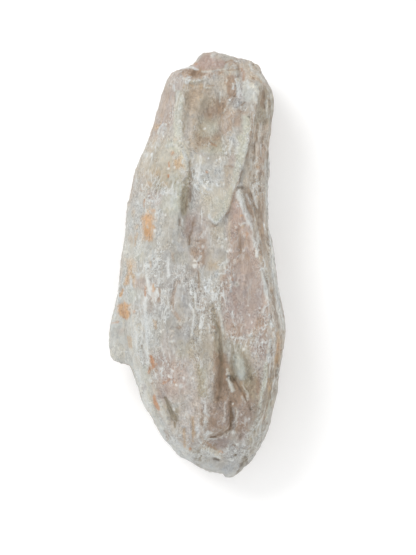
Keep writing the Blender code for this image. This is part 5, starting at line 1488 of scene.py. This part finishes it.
# %% [markdown]
# The paint is multiplied by a shade near 1 that carries the grit, the patches and the streaks, with
# a little more red and less blue where the stone is warm. Then brown goes between the fibres, deep
# brown into the hollows as dirt and painted shade, and white over the frost. Powder is dull and the
# calm places have a faint sheen. What is too fine for the mesh is a bump, and a trace of light that
# enters the stone and comes out again gives the waxy look of talc.

# %% Colour, gloss and the feel of the surface
painted = stone.node("ShaderNodeAttribute", {"attribute_name": "stone colour"}, output="Color")
shade = 1 + rough_patch * 1.6 * (grit - 0.5) + 0.7 * (mottle - 0.5) - 0.2 * rough_patch * specks
shade = shade + 0.15 * (light_a - 0.5) + 0.12 * (light_b - 0.5)
shade = shade + fibre_mask * (1.3 * (streaks - 0.5) + 0.7 * (broad_streaks - 0.5))
warmth = 0.9 * (tint_a - 0.5) + 0.6 * (tint_b - 0.5) + 1.1 * (grain(2.0, 3.0, 40, 3, 0.6) - 0.5)
greyed = stone.node(
    "ShaderNodeCombineXYZ", {},
    {"X": shade * (1 + 0.06 * warmth), "Y": shade, "Z": shade * (1 - 0.09 * warmth)},
)
colour = painted * greyed
colour = mixed(0.4 * fibre_mask * rise(streaks, 0.48, 0.34), colour, tuple(PALETTE["brown"]))
# deep brown in the hollows: settled dirt and painted shade
colour = mixed(0.3 * dirt_and_shade_mask, colour, tuple(PALETTE["deep brown"]))
colour = mixed(white, colour, tuple(PALETTE["chalk"]))

gloss = rise(mottle, 0.35, 0.65, 0.46, 0.6) + 0.2 * white - 0.08 * soapy_mask
bumps = 0.6 * grit + 0.35 * mottle + 0.5 * fibre_mask * streaks + 0.25 * white
felt = stone.node("ShaderNodeBump", {}, {"Height": bumps, "Strength": 0.8, "Distance": 0.0013})
stone.set(Base_Color=colour, Roughness=gloss, Normal=felt, IOR=1.52)
stone.shader.inputs["Subsurface Weight"].default_value = 0.06
stone.shader.inputs["Subsurface Radius"].default_value = (1.0, 0.85, 0.7)
stone.shader.inputs["Subsurface Scale"].default_value = 0.0015
print(len(stone.tree.nodes), "nodes in the finish")

# %% [markdown]
# ## The finished piece
#
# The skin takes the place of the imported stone, rides on its body and takes the stone's finish. It
# is one closed piece, as the stone is, so nothing has to be joined or hidden.

# %% Put the stone in its place
skin_mesh.materials.clear()
skin_mesh.materials.append(stone.material)
skin_mesh.shade_smooth()
skin = bpy.data.objects.new("soapstone_skin", skin_mesh)
bpy.context.scene.collection.objects.link(skin)
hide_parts("soapstone_block")
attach(skin, "root")
skin_mesh.calc_loop_triangles()
print("triangles:", len(skin_mesh.loop_triangles))
